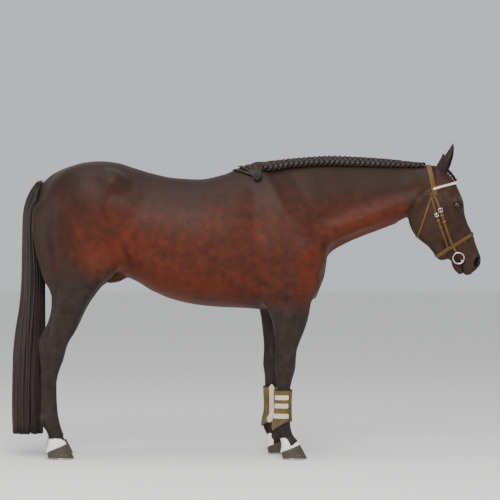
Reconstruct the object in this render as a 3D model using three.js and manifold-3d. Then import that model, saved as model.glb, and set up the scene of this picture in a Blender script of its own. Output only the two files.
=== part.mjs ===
// A bay riding horse, standing square, life size: 1.65 m at the withers. It wears a bridle, boots and shoes.
// Millimetres. +X is the way the horse faces, +Y its left, +Z up; the floor is z = 0, under its middle.
//
// The flesh is one smooth body. Each muscle and bone is a form that says how far a point is outside it, and
// forms are blended where they meet. The body is then turned into faces and parted with thin cuts.

import * as THREE from "three";
import { mergeVertices } from "three/addons/utils/BufferGeometryUtils.js";
import Module from "manifold-3d";

const wasm = await Module();
wasm.setup();

// ---------------------------------------------------------------- driving sizes

const GAP = 0.5; // between pieces that touch
const LEG_SPREAD = 136; // from the middle of the horse to the middle of each hoof
const FORE_LAG_TOP = 44; // the left foreleg stands this far behind the right one at the elbow
const FORE_LAG_FETLOCK = 54; // this far at the fetlock
const FORE_LAG_FOOT = 77; // and this far at the hoof
const HIND_LAG_FOOT = 34; // the left hind hoof stands this far behind the right one
const SHOE_THICK = 9;
const HOOF_FLOOR = SHOE_THICK + GAP;

// The head hangs in its own frame: `along` runs down the face to the lips, `front` out of the forehead.
const HEAD = { x: 1060, z: 1600, tilt: THREE.MathUtils.degToRad(19.75) };

const CUT = {
  elbow: 812, // forelegs leave the trunk
  stifle: 955, // hind legs leave the trunk
  groin: -705, // in front of it the trunk reaches down to the elbow
  withers: { x: 128, z: 1640 },
  breast: { x: 452, z: 1115 },
  poll: { x: 1004, z: 1640 },
  throat: { x: 868, z: 1322 },
};

// ---------------------------------------------------------------- small mathematics

const clamp = THREE.MathUtils.clamp;
const lerp = THREE.MathUtils.lerp;

/** A smooth curve through rows [at, value, value, ...], which never swings past its neighbours. */
function through(rows) {
  const at = rows.map((row) => row[0]);
  const width = rows[0].length - 1;
  const slopes = rows.map((row, i) =>
    Array.from({ length: width }, (_, k) => {
      if (i === 0 || i === rows.length - 1) return 0;
      const before = (row[k + 1] - rows[i - 1][k + 1]) / (at[i] - at[i - 1]);
      const after = (rows[i + 1][k + 1] - row[k + 1]) / (at[i + 1] - at[i]);
      return before * after <= 0 ? 0 : (2 * before * after) / (before + after);
    }),
  );
  return (s) => {
    const t = clamp(s, at[0], at[at.length - 1]);
    let i = 0;
    while (i < at.length - 2 && t > at[i + 1]) i += 1;
    const step = at[i + 1] - at[i];
    const u = (t - at[i]) / step;
    return Array.from({ length: width }, (_, k) => {
      const a = rows[i][k + 1];
      const b = rows[i + 1][k + 1];
      const m = slopes[i][k] * step;
      const n = slopes[i + 1][k] * step;
      const u2 = u * u;
      const u3 = u2 * u;
      return a * (2 * u3 - 3 * u2 + 1) + m * (u3 - 2 * u2 + u) + b * (3 * u2 - 2 * u3) + n * (u3 - u2);
    });
  };
}

/** Two distances joined with a fillet about `soft` wide. */
function blend(a, b, soft) {
  const near = Math.max(soft - Math.abs(a - b), 0) / soft;
  return Math.min(a, b) - (near * near * soft) / 4;
}

/** Distance a with b taken out of it, the edge rounded over `soft`. */
function carve(a, b, soft) {
  return -blend(-a, b, soft);
}

// ---------------------------------------------------------------- forms

/**
 * A long form. Rows are [along, high, low, half width, widest height, squareness above, below]: each
 * cross-section runs from low to high, with a rounded outline, squarer as squareness grows past 2.
 */
function loft(rows) {
  const at = through(rows);
  const first = rows[0][0];
  const last = rows[rows.length - 1][0];
  return (along, height, side) => {
    const [high, low, half, widest, squareHigh, squareLow] = at(along);
    const v = height - widest;
    const reach = v > 0 ? high - widest : widest - low;
    const power = v > 0 ? squareHigh : squareLow;
    const size = (Math.abs(side / half) ** power + Math.abs(v / reach) ** power) ** (1 / power);
    const around = size < 1e-6 ? -Math.min(half, reach) : Math.hypot(side, v) * (1 - 1 / size);
    const past = Math.max(first - along, along - last);
    return Math.min(Math.max(around, past), 0) + Math.hypot(Math.max(around, 0), Math.max(past, 0));
  };
}

/** An ellipsoid at [along, height, side], its radii in the same order, turned in the side view. */
function egg(centre, radii, turn = 0) {
  const c = Math.cos(THREE.MathUtils.degToRad(turn));
  const s = Math.sin(THREE.MathUtils.degToRad(turn));
  return (along, height, side) => {
    const a = along - centre[0];
    const h = height - centre[1];
    const p = [(a * c + h * s) / radii[0], (h * c - a * s) / radii[1], (side - centre[2]) / radii[2]];
    const size = Math.hypot(...p);
    const steep = Math.hypot(p[0] / radii[0], p[1] / radii[1], p[2] / radii[2]);
    return steep < 1e-9 ? -Math.min(...radii) : (size * (size - 1)) / steep;
  };
}

/** A round bar between two [along, height, side] ends, with its own radius at each. */
function bar(a, b, radiusA, radiusB) {
  const d = [b[0] - a[0], b[1] - a[1], b[2] - a[2]];
  const square = d[0] ** 2 + d[1] ** 2 + d[2] ** 2;
  return (along, height, side) => {
    const p = [along - a[0], height - a[1], side - a[2]];
    const t = clamp((p[0] * d[0] + p[1] * d[1] + p[2] * d[2]) / square, 0, 1);
    return Math.hypot(p[0] - t * d[0], p[1] - t * d[1], p[2] - t * d[2]) - lerp(radiusA, radiusB, t);
  };
}

// ---------------------------------------------------------------- trunk and neck

const barrel = loft([
  [-1165, 1545, 1240, 88, 1400, 2.0, 2.0],
  [-1100, 1592, 1110, 152, 1400, 2.0, 2.0],
  [-1000, 1638, 1040, 218, 1400, 2.0, 2.0],
  [-900, 1664, 1020, 262, 1400, 2.0, 2.0],
  [-828, 1669, 1018, 280, 1400, 2.1, 2.0],
  [-735, 1661, 1024, 281, 1380, 2.0, 2.0],
  [-627, 1629, 988, 284, 1310, 2.0, 2.1],
  [-537, 1602, 934, 292, 1240, 2.0, 2.2],
  [-402, 1574, 879, 306, 1190, 2.1, 2.2],
  [-267, 1567, 851, 313, 1165, 2.1, 2.2],
  [-133, 1592, 839, 304, 1150, 1.9, 2.2],
  [-10, 1642, 834, 282, 1140, 1.7, 2.2],
  [70, 1655, 828, 264, 1130, 1.65, 2.2],
  [160, 1640, 826, 250, 1120, 1.7, 2.2],
  [250, 1560, 832, 238, 1110, 1.8, 2.2],
  [330, 1440, 850, 220, 1100, 2.0, 2.2],
  [390, 1310, 890, 190, 1090, 2.0, 2.2],
]);
const breast = egg([330, 1085, 62], [118, 170, 118]);
const shoulderBlade = bar([85, 1540, 70], [330, 1170, 140], 62, 96);
const upperArm = bar([330, 1120, 142], [190, 950, 150], 92, 84);
const elbowMuscle = egg([165, 1090, 150], [120, 200, 92], 28);
const hipBone = egg([-742, 1535, 205], [70, 62, 62], -20);
const haunch = egg([-905, 1400, 138], [225, 225, 140], -14);
const stifle = egg([-800, 1075, 168], [78, 100, 74], -30);

const neckForm = loft([
  [60, 1640, 1180, 120, 1400, 1.7, 2.0],
  [180, 1654, 1060, 168, 1370, 1.6, 2.0],
  [320, 1664, 1085, 166, 1370, 1.6, 2.0],
  [447, 1672, 1134, 146, 1380, 1.55, 2.0],
  [545, 1674, 1186, 126, 1400, 1.55, 2.0],
  [629, 1671, 1228, 112, 1415, 1.6, 2.0],
  [772, 1663, 1283, 96, 1440, 1.7, 2.0],
  [870, 1653, 1322, 86, 1465, 1.8, 2.0],
  [950, 1646, 1372, 80, 1490, 2.0, 2.0],
  [1040, 1640, 1440, 72, 1520, 2.0, 2.0],
]);
const neckMuscle = bar([960, 1440, 52], [360, 1230, 118], 38, 62);

function trunkDistance(x, side, z) {
  let d = barrel(x, z, side);
  d = blend(d, breast(x, z, side), 70);
  d = blend(d, shoulderBlade(x, z, side), 90);
  d = blend(d, upperArm(x, z, side), 60);
  d = blend(d, elbowMuscle(x, z, side), 60);
  d = blend(d, haunch(x, z, side), 70);
  d = blend(d, hipBone(x, z, side), 60);
  return blend(d, stifle(x, z, side), 60);
}

function neckDistance(x, side, z) {
  return blend(neckForm(x, z, side), neckMuscle(x, z, side), 50);
}

// ---------------------------------------------------------------- head, in its own frame

const face = loft([
  [-40, 22, -120, 56, -30, 2.2, 2.0],
  [0, 56, -135, 66, -10, 2.3, 2.0],
  [50, 84, -140, 75, 10, 2.4, 2.0],
  [98, 96, -140, 82, 25, 2.5, 2.0],
  [150, 100, -140, 87, 30, 2.5, 2.0],
  [196, 103, -140, 88, 32, 2.5, 2.0],
  [245, 94, -130, 84, 28, 2.3, 2.0],
  [283, 86, -120, 79, 22, 2.1, 2.0],
  [332, 84, -108, 71, 14, 2.0, 2.0],
  [382, 90, -96, 62, 6, 2.0, 2.0],
  [425, 92, -84, 55, 6, 2.0, 2.0],
  [472, 93, -66, 51, 12, 2.1, 2.0],
  [514, 93, -52, 52, 24, 2.2, 2.0],
  [545, 84, -44, 52, 26, 2.2, 2.0],
  [575, 63, -40, 46, 16, 2.1, 2.0],
  [595, 38, -37, 36, 2, 2.0, 2.0],
  [608, 10, -30, 20, -10, 2.0, 2.0],
]);
const orbit = egg([206, 50, 74], [50, 40, 32], 20);
const cheekRidge = bar([150, 12, 80], [330, 14, 66], 17, 13);
const jowl = egg([238, -112, 40], [136, 117, 47]);
const jaw = bar([300, -148, 34], [450, -114, 24], 46, 35);
const chinGroove = bar([440, -112, 12], [492, -60, 10], 25, 21);
const nostrilFlare = egg([545, 54, 34], [42, 26, 20], -12);
const upperLip = egg([572, 0, 0], [40, 44, 42]);
const chin = egg([536, -62, 0], [50, 27, 32], 6);
const lowerLip = egg([572, -52, 0], [26, 18, 30]);
const mouth = egg([560, -36, 0], [64, 3.5, 60]);

function headDistance(along, front, side) {
  let d = face(along, front, side);
  d = blend(d, orbit(along, front, side), 26);
  d = blend(d, cheekRidge(along, front, side), 26);
  d = blend(d, jowl(along, front, side), 40);
  d = blend(d, jaw(along, front, side), 40);
  d = blend(d, chinGroove(along, front, side), 22);
  d = blend(d, nostrilFlare(along, front, side), 16);
  d = blend(d, upperLip(along, front, side), 24);
  const lower = blend(chin(along, front, side), lowerLip(along, front, side), 18);
  d = blend(d, lower, 14);
  return carve(d, mouth(along, front, side), 5);
}

/** World [x, z] as the head's own [along, front]. */
function inHead(x, z) {
  const a = x - HEAD.x;
  const b = z - HEAD.z;
  const [c, s] = [Math.cos(HEAD.tilt), Math.sin(HEAD.tilt)];
  return [a * s - b * c, a * c + b * s];
}

/** The head's own [along, front, side] as a world point. */
function fromHead(along, front, side) {
  const [c, s] = [Math.cos(HEAD.tilt), Math.sin(HEAD.tilt)];
  return new THREE.Vector3(HEAD.x + along * s + front * c, side, HEAD.z - along * c + front * s);
}

// ---------------------------------------------------------------- legs

// Rows run up the leg: z, front, back, half width, x of the widest place, squareness in front and behind.
const foreColumn = loft([
  [28, 306, 186, 46, 250, 2.1, 2.1],
  [60, 303, 190, 46, 249, 2.1, 2.1],
  [82, 300, 192, 46, 246, 2.1, 2.1],
  [104, 286, 188, 40, 234, 2.1, 2.1],
  [124, 268, 178, 36, 222, 2.1, 2.1],
  [148, 256, 161, 37, 208, 2.1, 2.1],
  [174, 250, 150, 40, 200, 2.2, 2.1],
  [204, 247, 152, 39, 200, 2.2, 2.1],
  [246, 243, 161, 32, 204, 2.3, 2.2],
  [310, 242, 166, 28, 206, 2.4, 2.3],
  [386, 247, 168, 31, 208, 2.3, 2.3],
  [436, 257, 168, 39, 212, 2.3, 2.2],
  [476, 269, 163, 47, 216, 2.4, 2.2],
  [516, 277, 158, 50, 218, 2.4, 2.2],
  [556, 279, 160, 48, 220, 2.3, 2.2],
  [602, 284, 162, 45, 222, 2.2, 2.1],
  [652, 300, 159, 48, 226, 2.1, 2.1],
  [722, 328, 150, 56, 232, 2.1, 2.1],
  [773, 344, 138, 62, 238, 2.1, 2.1],
  [812, 353, 124, 67, 240, 2.1, 2.1],
  [858, 360, 108, 72, 240, 2.1, 2.1],
  [910, 376, 98, 78, 240, 2.1, 2.1],
  [985, 400, 96, 84, 245, 2.1, 2.1],
]);

const hindColumn = loft([
  [28, -998, -1122, 46, -1060, 2.1, 2.1],
  [72, -998, -1114, 45, -1056, 2.1, 2.1],
  [98, -1008, -1106, 40, -1056, 2.1, 2.1],
  [124, -1018, -1103, 36, -1060, 2.1, 2.1],
  [154, -1028, -1114, 35, -1070, 2.1, 2.1],
  [189, -1037, -1142, 39, -1086, 2.1, 2.1],
  [226, -1045, -1158, 41, -1096, 2.2, 2.1],
  [268, -1050, -1152, 34, -1098, 2.3, 2.2],
  [325, -1054, -1148, 29, -1098, 2.4, 2.3],
  [410, -1056, -1147, 29, -1098, 2.4, 2.3],
  [455, -1050, -1147, 33, -1098, 2.3, 2.2],
  [500, -1037, -1149, 40, -1090, 2.3, 2.2],
  [550, -1018, -1155, 47, -1080, 2.3, 2.1],
  [610, -1003, -1162, 49, -1074, 2.2, 2.0],
  [652, -986, -1164, 46, -1064, 2.1, 1.9],
  [700, -956, -1140, 46, -1030, 2.1, 1.8],
  [760, -929, -1110, 53, -1006, 2.1, 1.9],
  [806, -912, -1096, 60, -996, 2.1, 2.0],
  [850, -892, -1089, 68, -985, 2.1, 2.1],
  [896, -864, -1088, 76, -972, 2.1, 2.1],
  [940, -834, -1100, 85, -964, 2.1, 2.1],
  [1000, -792, -1133, 98, -960, 2.1, 2.1],
  [1072, -742, -1156, 112, -945, 2.1, 2.0],
  [1160, -720, -1178, 122, -930, 2.1, 1.85],
  [1250, -715, -1195, 127, -920, 2.1, 1.75],
  [1330, -720, -1204, 126, -915, 2.1, 1.7],
  [1420, -740, -1192, 116, -915, 2.1, 1.7],
]);

const foreMiddle = through([
  [0, LEG_SPREAD],
  [500, LEG_SPREAD],
  [800, 144],
  [1000, 150],
]);
const hindMiddle = through([
  [0, LEG_SPREAD],
  [600, LEG_SPREAD],
  [860, 146],
  [1000, 141],
  [1200, 126],
  [1420, 116],
]);
const foreLag = through([
  [60, FORE_LAG_FOOT],
  [215, FORE_LAG_FETLOCK],
  [430, 66],
  [700, 64],
  [850, FORE_LAG_TOP],
  [1050, 0],
]);
const hindLag = through([
  [60, HIND_LAG_FOOT],
  [700, 20],
  [1100, 0],
]);

function legDistance(x, y, z) {
  const side = Math.abs(y);
  const left = y > 0 ? 1 : 0;
  const fore = foreColumn(z, x + left * foreLag(z)[0], side - foreMiddle(z)[0]);
  const hind = hindColumn(z, x + left * hindLag(z)[0], side - hindMiddle(z)[0]);
  return Math.min(fore, hind);
}

/** How far a point is outside the whole body. */
function bodyDistance(x, y, z) {
  const side = Math.abs(y);
  const [along, front] = inHead(x, z);
  let d = blend(trunkDistance(x, side, z), neckDistance(x, side, z), 70);
  d = blend(d, legDistance(x, y, z), 50);
  return blend(d, headDistance(along, front, side), 34);
}

const headIn = (along, front, side) => {
  const p = fromHead(along, front, side);
  return bodyDistance(p.x, p.y, p.z);
};

// ---------------------------------------------------------------- making faces

const smoothSteps = 4; // corrections that bring a corner onto the surface

/** The way out of the body at a point. */
function outward(distance, p) {
  const e = 0.5;
  const [x, y, z] = p;
  const g = [
    distance(x + e, y, z) - distance(x - e, y, z),
    distance(x, y + e, z) - distance(x, y - e, z),
    distance(x, y, z + e) - distance(x, y, z - e),
  ];
  return g.map((value) => value / (2 * e));
}

function ontoSurface(distance, start, reach) {
  let p = [...start];
  for (let step = 0; step < smoothSteps; step += 1) {
    const d = distance(...p);
    const g = outward(distance, p);
    const square = Math.max(g[0] ** 2 + g[1] ** 2 + g[2] ** 2, 0.2);
    p = p.map((value, k) => clamp(value - (d * g[k]) / square, start[k] - reach[k], start[k] + reach[k]));
  }
  return p;
}

/** Grid lines from `from` to `to`, evenly spaced, about `step` apart. */
function ticks(from, to, step) {
  const count = Math.ceil((to - from) / step);
  return Array.from({ length: count + 1 }, (_, i) => from + ((to - from) * i) / count);
}

/** Grid lines on both sides of the middle, none on it, so that a row of corners falls on the middle. */
function ticksAcross(half, step) {
  const count = Math.ceil(half / step);
  return Array.from({ length: 2 * count }, (_, i) => (i - count + 0.5) * step);
}

/** The surface where a distance is nought, as a closed net with a corner in each grid cell it crosses. */
function net(distance, xs, ys, zs) {
  const size = [xs.length, ys.length, zs.length];
  const lines = [xs, ys, zs];
  const at = (i, j, k) => (i * size[1] + j) * size[2] + k;
  const value = new Float64Array(size[0] * size[1] * size[2]);
  const edge = (i, j, k) => [i, j, k].some((n, axis) => n === 0 || n === size[axis] - 1);
  for (let i = 0; i < size[0]; i += 1)
    for (let j = 0; j < size[1]; j += 1)
      for (let k = 0; k < size[2]; k += 1) {
        const d = distance(xs[i], ys[j], zs[k]);
        value[at(i, j, k)] = edge(i, j, k) ? Math.max(Math.abs(d), 1) : d || 1e-6;
      }
  const corners = [];
  const cornerOf = new Map();
  const steps = [0, 1];
  for (let i = 0; i + 1 < size[0]; i += 1)
    for (let j = 0; j + 1 < size[1]; j += 1)
      for (let k = 0; k + 1 < size[2]; k += 1) {
        const crossings = [];
        for (const a of steps)
          for (const b of steps)
            for (let axis = 0; axis < 3; axis += 1) {
              const from = [i, j, k];
              from[(axis + 1) % 3] += a;
              from[(axis + 2) % 3] += b;
              const to = [...from];
              to[axis] += 1;
              const v = value[at(...from)];
              const w = value[at(...to)];
              if (v < 0 === w < 0) continue;
              const t = v / (v - w);
              crossings.push(from.map((n, m) => lerp(lines[m][n], lines[m][to[m]], t)));
            }
        if (!crossings.length) continue;
        let p = [0, 1, 2].map((m) => crossings.reduce((sum, c) => sum + c[m], 0) / crossings.length);
        const outer = [i, j, k].some((n, axis) => n === 0 || n === size[axis] - 2);
        if (!outer) {
          const reach = [i, j, k].map((n, m) => (lines[m][n + 1] - lines[m][n]) * 0.45);
          p = ontoSurface(distance, p, reach);
        }
        cornerOf.set(at(i, j, k), corners.length);
        corners.push(p);
      }
  const faces = [];
  const addQuad = (keys, flip) => {
    const quad = (flip ? keys.reverse() : keys).map((key) => cornerOf.get(key));
    const span = (m, n) => Math.hypot(...[0, 1, 2].map((q) => corners[quad[m]][q] - corners[quad[n]][q]));
    const [p, q, r, s] = quad;
    if (span(0, 2) <= span(1, 3)) faces.push(p, q, r, p, r, s);
    else faces.push(p, q, s, q, r, s);
  };
  for (let i = 0; i < size[0]; i += 1)
    for (let j = 0; j < size[1]; j += 1)
      for (let k = 0; k < size[2]; k += 1)
        for (let axis = 0; axis < 3; axis += 1) {
          const from = [i, j, k];
          const to = [...from];
          to[axis] += 1;
          if (to[axis] >= size[axis]) continue;
          const v = value[at(...from)] < 0;
          const w = value[at(...to)] < 0;
          if (v === w) continue;
          const [m, n] = [(axis + 1) % 3, (axis + 2) % 3];
          const cell = (a, b) => {
            const c = [...from];
            c[m] -= a;
            c[n] -= b;
            return at(...c);
          };
          addQuad([cell(1, 1), cell(0, 1), cell(0, 0), cell(1, 0)], w);
        }
  return solidFrom(corners.flat(), faces);
}

// ---------------------------------------------------------------- closed solids, joined and cut

function solidFrom(points, faces) {
  const mesh = new wasm.Mesh({
    numProp: 3,
    vertProperties: new Float32Array(points),
    triVerts: new Uint32Array(faces),
  });
  return new wasm.Manifold(mesh);
}

function solidOf(geometry) {
  const bare = geometry.clone();
  bare.deleteAttribute("normal");
  bare.deleteAttribute("uv");
  const merged = mergeVertices(bare, 1e-4);
  return solidFrom(merged.attributes.position.array, merged.index.array);
}

function geometryOf(solid) {
  const { numProp, vertProperties, triVerts } = solid.getMesh();
  if (numProp !== 3) throw new Error("a solid has only positions");
  const geometry = new THREE.BufferGeometry();
  geometry.setAttribute("position", new THREE.Float32BufferAttribute(vertProperties, 3));
  geometry.setIndex(Array.from(triVerts));
  return geometry;
}

/** A plate across the whole width of the horse, from its outline [x, z] in the side view. */
function wall(outline, half = 500) {
  const shape = new THREE.Shape(outline.map(([x, z]) => new THREE.Vector2(x, z)));
  const plate = new THREE.ExtrudeGeometry(shape, { depth: 2 * half, bevelEnabled: false });
  plate.rotateX(Math.PI / 2);
  plate.translate(0, half, 0);
  return solidOf(plate);
}

/** Rings of corners, all of one length, joined into a closed tube with a flat or pointed end at each side. */
function tube(rings) {
  const count = rings[0].length;
  const points = rings.flat();
  const faces = [];
  for (let r = 0; r + 1 < rings.length; r += 1)
    for (let i = 0; i < count; i += 1) {
      const a = r * count + i;
      const b = r * count + ((i + 1) % count);
      faces.push(a, b, b + count, a, b + count, a + count);
    }
  const cap = (ring, flip) => {
    const centre = new THREE.Vector3();
    ring.forEach((p) => centre.addScaledVector(p, 1 / count));
    const base = flip ? (rings.length - 1) * count : 0;
    points.push(centre);
    for (let i = 0; i < count; i += 1) {
      const a = base + i;
      const b = base + ((i + 1) % count);
      faces.push(...(flip ? [points.length - 1, a, b] : [points.length - 1, b, a]));
    }
  };
  cap(rings[0], false);
  cap(rings[rings.length - 1], true);
  const solid = solidFrom(points.flatMap((p) => p.toArray()), faces);
  return solid.volume() < 0 ? solidFrom(points.flatMap((p) => p.toArray()), faces.reverse()) : solid;
}

/** The first place out from `centre` along `direction` that is `lift` clear of the body. */
function castOut(centre, direction, lift, reach = 400) {
  const value = (t) => {
    const p = centre.clone().addScaledVector(direction, t);
    return bodyDistance(p.x, p.y, p.z) - lift;
  };
  const stride = 6;
  let far = stride;
  while (far < reach && value(far) < 0) far += stride;
  let near = far - stride;
  for (let i = 0; i < 14; i += 1) {
    const middle = (near + far) / 2;
    if (value(middle) < 0) near = middle;
    else far = middle;
  }
  return centre.clone().addScaledVector(direction, far);
}

/** A point moved straight out of the body until it is `lift` clear of it. */
function keepOff(p, lift) {
  const q = p.clone();
  for (let i = 0; i < 3; i += 1) {
    const d = bodyDistance(q.x, q.y, q.z);
    if (d >= lift) return q;
    const way = new THREE.Vector3(...outward(bodyDistance, q.toArray())).normalize();
    q.addScaledVector(way, lift - d);
  }
  return q;
}

// ---------------------------------------------------------------- the named pieces

const horse = new THREE.Group();

function finish(colour, roughness, metalness = 0) {
  return new THREE.MeshStandardMaterial({ color: colour, roughness, metalness });
}

const COAT = finish("#4a2a1c", 0.6);
const DARK_COAT = finish("#2c211e", 0.6);
const HAIR = finish("#1d1614", 0.55);
const EYE = finish("#20120c", 0.15);
const HORN = finish("#6f6459", 0.6);
const STEEL = finish("#9c9a96", 0.35, 1);
const LEATHER = finish("#b07a3c", 0.5);
const BEADS = finish("#e9dcbc", 0.35);
const CREAM = finish("#e8dfc8", 0.6);

function add(name, solid, material) {
  const mesh = new THREE.Mesh(geometryOf(solid), material);
  mesh.name = name;
  horse.add(mesh);
}

const sides = [
  { word: "left", sign: 1 },
  { word: "right", sign: -1 },
];

/** Where the line through two [x, z] places, moved `shift` forward, stands at a height. */
function seamAt(a, b, shift, height) {
  return [lerp(a.x, b.x, (height - a.z) / (b.z - a.z)) + shift, height];
}

const LOW = 1050; // under the neck, above where its two cuts would meet
const HIGH = 1900; // over the ears
const BELOW_HEAD = 900;
const [BEHIND, AHEAD] = [-1500, 1500]; // past the ends of the body
const CLEAR = { trunk: 2.5, neck: 2, head: 1.6 }; // between the flesh and what lies on it

/** The head's own frame as a matrix: its axes are down the face, out of the forehead, and to the right. */
function headFrame(along = 0, front = 0, side = 0) {
  const origin = fromHead(0, 0, 0);
  const frame = new THREE.Matrix4().makeBasis(
    fromHead(1, 0, 0).sub(origin),
    fromHead(0, 1, 0).sub(origin),
    new THREE.Vector3(0, -1, 0),
  );
  return frame.setPosition(fromHead(along, front, side));
}

const bodyNet = (lift, ...lines) => net((...p) => bodyDistance(...p) - lift, ...lines);

// The whole surface, grown by `lift`, as far as each region reaches; the head's grid is turned with the face.
const flesh = {
  trunk: (lift) => bodyNet(lift, ticks(-1320, 650, 82), ticksAcross(380, 68), ticks(725, 1810, 78)),
  neck: (lift) => bodyNet(lift, ticks(-60, 1160, 72), ticksAcross(290, 50), ticks(990, 1760, 64)),
  head: (lift) => {
    const distance = (along, front, right) => headIn(along, front, -right) - lift;
    const flat = net(distance, ticks(-190, 660, 43), ticks(-300, 200, 37), ticksAcross(180, 29));
    return flat.transform(headFrame().toArray());
  },
};

const grownFlesh = new Map(Object.keys(flesh).map((region) => [region, flesh[region](CLEAR[region])]));

/** A solid cut clear of the flesh of the named regions. */
function clearOf(solid, ...regions) {
  return regions.reduce((rest, region) => rest.subtract(grownFlesh.get(region)), solid);
}

function addTrunk() {
  const floor = CUT.elbow + GAP / 2;
  const outline = [
    [BEHIND, CUT.stifle + GAP / 2],
    [CUT.groin, CUT.stifle + GAP / 2],
    [CUT.groin, floor],
    seamAt(CUT.breast, CUT.withers, -GAP / 2, floor),
    seamAt(CUT.breast, CUT.withers, -GAP / 2, HIGH),
    [BEHIND, HIGH],
  ];
  add("trunk", flesh.trunk(0).intersect(wall(outline)), COAT);
}

function addNeck() {
  const outline = [
    seamAt(CUT.breast, CUT.withers, GAP / 2, LOW),
    seamAt(CUT.throat, CUT.poll, -GAP / 2, LOW),
    seamAt(CUT.throat, CUT.poll, -GAP / 2, HIGH),
    seamAt(CUT.breast, CUT.withers, GAP / 2, HIGH),
  ];
  add("neck", flesh.neck(0).intersect(wall(outline)), COAT);
}

const EYEBALL = { along: 213, front: 50, side: 85, radius: 21.5 };
const LID_THICK = 4;

/** A ball stretched to its three radii, in the head's frame, turned by `turn` in the side view. */
function headBall(centre, radii, turn = 0, detail = 16) {
  const ball = new THREE.SphereGeometry(1, detail, Math.round(detail * 0.7));
  ball.scale(radii[0], radii[1], radii[2]);
  ball.rotateZ(THREE.MathUtils.degToRad(turn));
  ball.applyMatrix4(headFrame(...centre));
  return solidOf(ball);
}

function addHead() {
  const outline = [
    seamAt(CUT.throat, CUT.poll, GAP / 2, BELOW_HEAD),
    [AHEAD, BELOW_HEAD],
    [AHEAD, HIGH],
    seamAt(CUT.throat, CUT.poll, GAP / 2, HIGH),
  ];
  let head = flesh.head(0).intersect(wall(outline));
  const { radius } = EYEBALL;
  for (const { sign } of sides) {
    const eye = [EYEBALL.along, EYEBALL.front, EYEBALL.side * sign];
    const lid = radius + LID_THICK;
    head = head.add(headBall(eye, [lid + 2, lid - 1, lid], 0, 12));
    const opening = [EYEBALL.along + 1, EYEBALL.front, (EYEBALL.side + lid) * sign];
    head = head.subtract(headBall(opening, [20, 13, 14], 12, 14));
    head = head.subtract(headBall(eye, [radius + GAP, radius + GAP, radius + GAP], 0, 10));
    head = head.subtract(headBall([553, 52, 60 * sign], [30, 13, 26], -36, 10));
    head = head.subtract(headBall([576, -22, 44 * sign], [58, 2.5, 34], 0, 12));
  }
  add("head", head, COAT);
}

function addEyes() {
  for (const { word, sign } of sides) {
    const { along, front, side, radius } = EYEBALL;
    add(`eye_${word}`, headBall([along, front, side * sign], [radius, radius, radius], 0, 10), EYE);
  }
}

const EAR = {
  foot: new THREE.Vector3(1096, 44, 1597), // middle of the base, on the horse's left
  tip: { left: new THREE.Vector3(1119, 58, 1714), right: new THREE.Vector3(1162, 56, 1766) },
  faces: new THREE.Vector3(0.94, 0.34, 0),
  wall: 5,
  hollow: { push: 12, from: 0.16 }, // the cup stands this far out of the ear, and starts this far up it
  rows: [
    // part of the height, half width, half depth, bow forward
    [0, 26, 33, -2],
    [0.16, 32, 36, -1],
    [0.36, 33, 33, 5],
    [0.56, 27, 26, 8],
    [0.78, 16, 15, 7],
    [1, 2.5, 2.5, 0],
  ],
};

function addEars() {
  for (const { word, sign } of sides) {
    const foot = EAR.foot.clone();
    const up = EAR.tip[word].clone().sub(foot);
    const open = EAR.faces.clone().addScaledVector(up, -EAR.faces.dot(up) / up.lengthSq()).normalize();
    const wide = new THREE.Vector3().crossVectors(up, open).normalize();
    const rings = (grow, push, from) =>
      EAR.rows.map(([t, half, deep, bow]) =>
        ticks(0, Math.PI * 2, Math.PI / 5).slice(0, 10).map((angle) => {
          const p = foot.clone().addScaledVector(up, lerp(from, 1 - from * 0.2, t));
          p.addScaledVector(wide, Math.cos(angle) * Math.max(half + grow, 0.6));
          p.addScaledVector(open, Math.sin(angle) * Math.max(deep + grow, 0.6) + bow + push);
          p.y *= sign;
          return p;
        }),
      );
    const shell = tube(rings(0, 0, 0));
    const hollow = tube(rings(-EAR.wall, EAR.hollow.push, EAR.hollow.from));
    add(`ear_${word}`, clearOf(shell.subtract(hollow), "head", "neck"), COAT);
  }
}

const CORONET = { middle: 61.5, slope: 0.4, under: 1.5 }; // top of the hoof: its height, slope and gap
const LEG_CORNERS = 12;
// Levels of the rings: height, and how steeply the ring tips up at the front.
const FORE_LEVELS = [
  [CORONET.middle + 1, 0.4], [78, 0.4], [102, 0.36], [128, 0.22], [152, 0.08], [176, 0], [202, 0], [228, 0],
  [256, 0], [288, 0], [330, 0], [385, 0], [430, 0], [470, 0], [508, 0], [545, 0], [585, 0], [635, 0],
  [695, 0], [755, 0], [CUT.elbow - GAP / 2, 0],
];
const HIND_LEVELS = [
  [CORONET.middle + 1, 0.4], [78, 0.4], [102, 0.36], [130, 0.22], [158, 0.06], [186, 0], [214, 0], [244, 0],
  [280, 0], [340, 0], [420, 0], [470, 0], [515, 0], [560, 0], [600, 0], [632, 0], [658, 0], [695, 0],
  [745, 0], [810, 0], [880, 0], [CUT.stifle - GAP / 2, 0],
];
const foreMiddleX = through([
  [60, 248],
  [110, 234],
  [150, 208],
  [250, 204],
  [480, 216],
  [660, 228],
  [820, 240],
]);
const hindMiddleX = through([
  [60, -1056],
  [110, -1058],
  [200, -1092],
  [420, -1100],
  [560, -1084],
  [660, -1070],
  [760, -1015],
  [860, -990],
  [960, -968],
]);

/** The middle of a foreleg at a height, sign +1 for the left one. */
function foreAt(height, sign) {
  const x = foreMiddleX(height)[0] - (sign > 0 ? foreLag(height)[0] : 0);
  return new THREE.Vector3(x, sign * foreMiddle(height)[0], height);
}

function hindAt(height, sign) {
  const x = hindMiddleX(height)[0] - (sign > 0 ? hindLag(height)[0] : 0);
  return new THREE.Vector3(x, sign * hindMiddle(height)[0], height);
}

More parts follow.
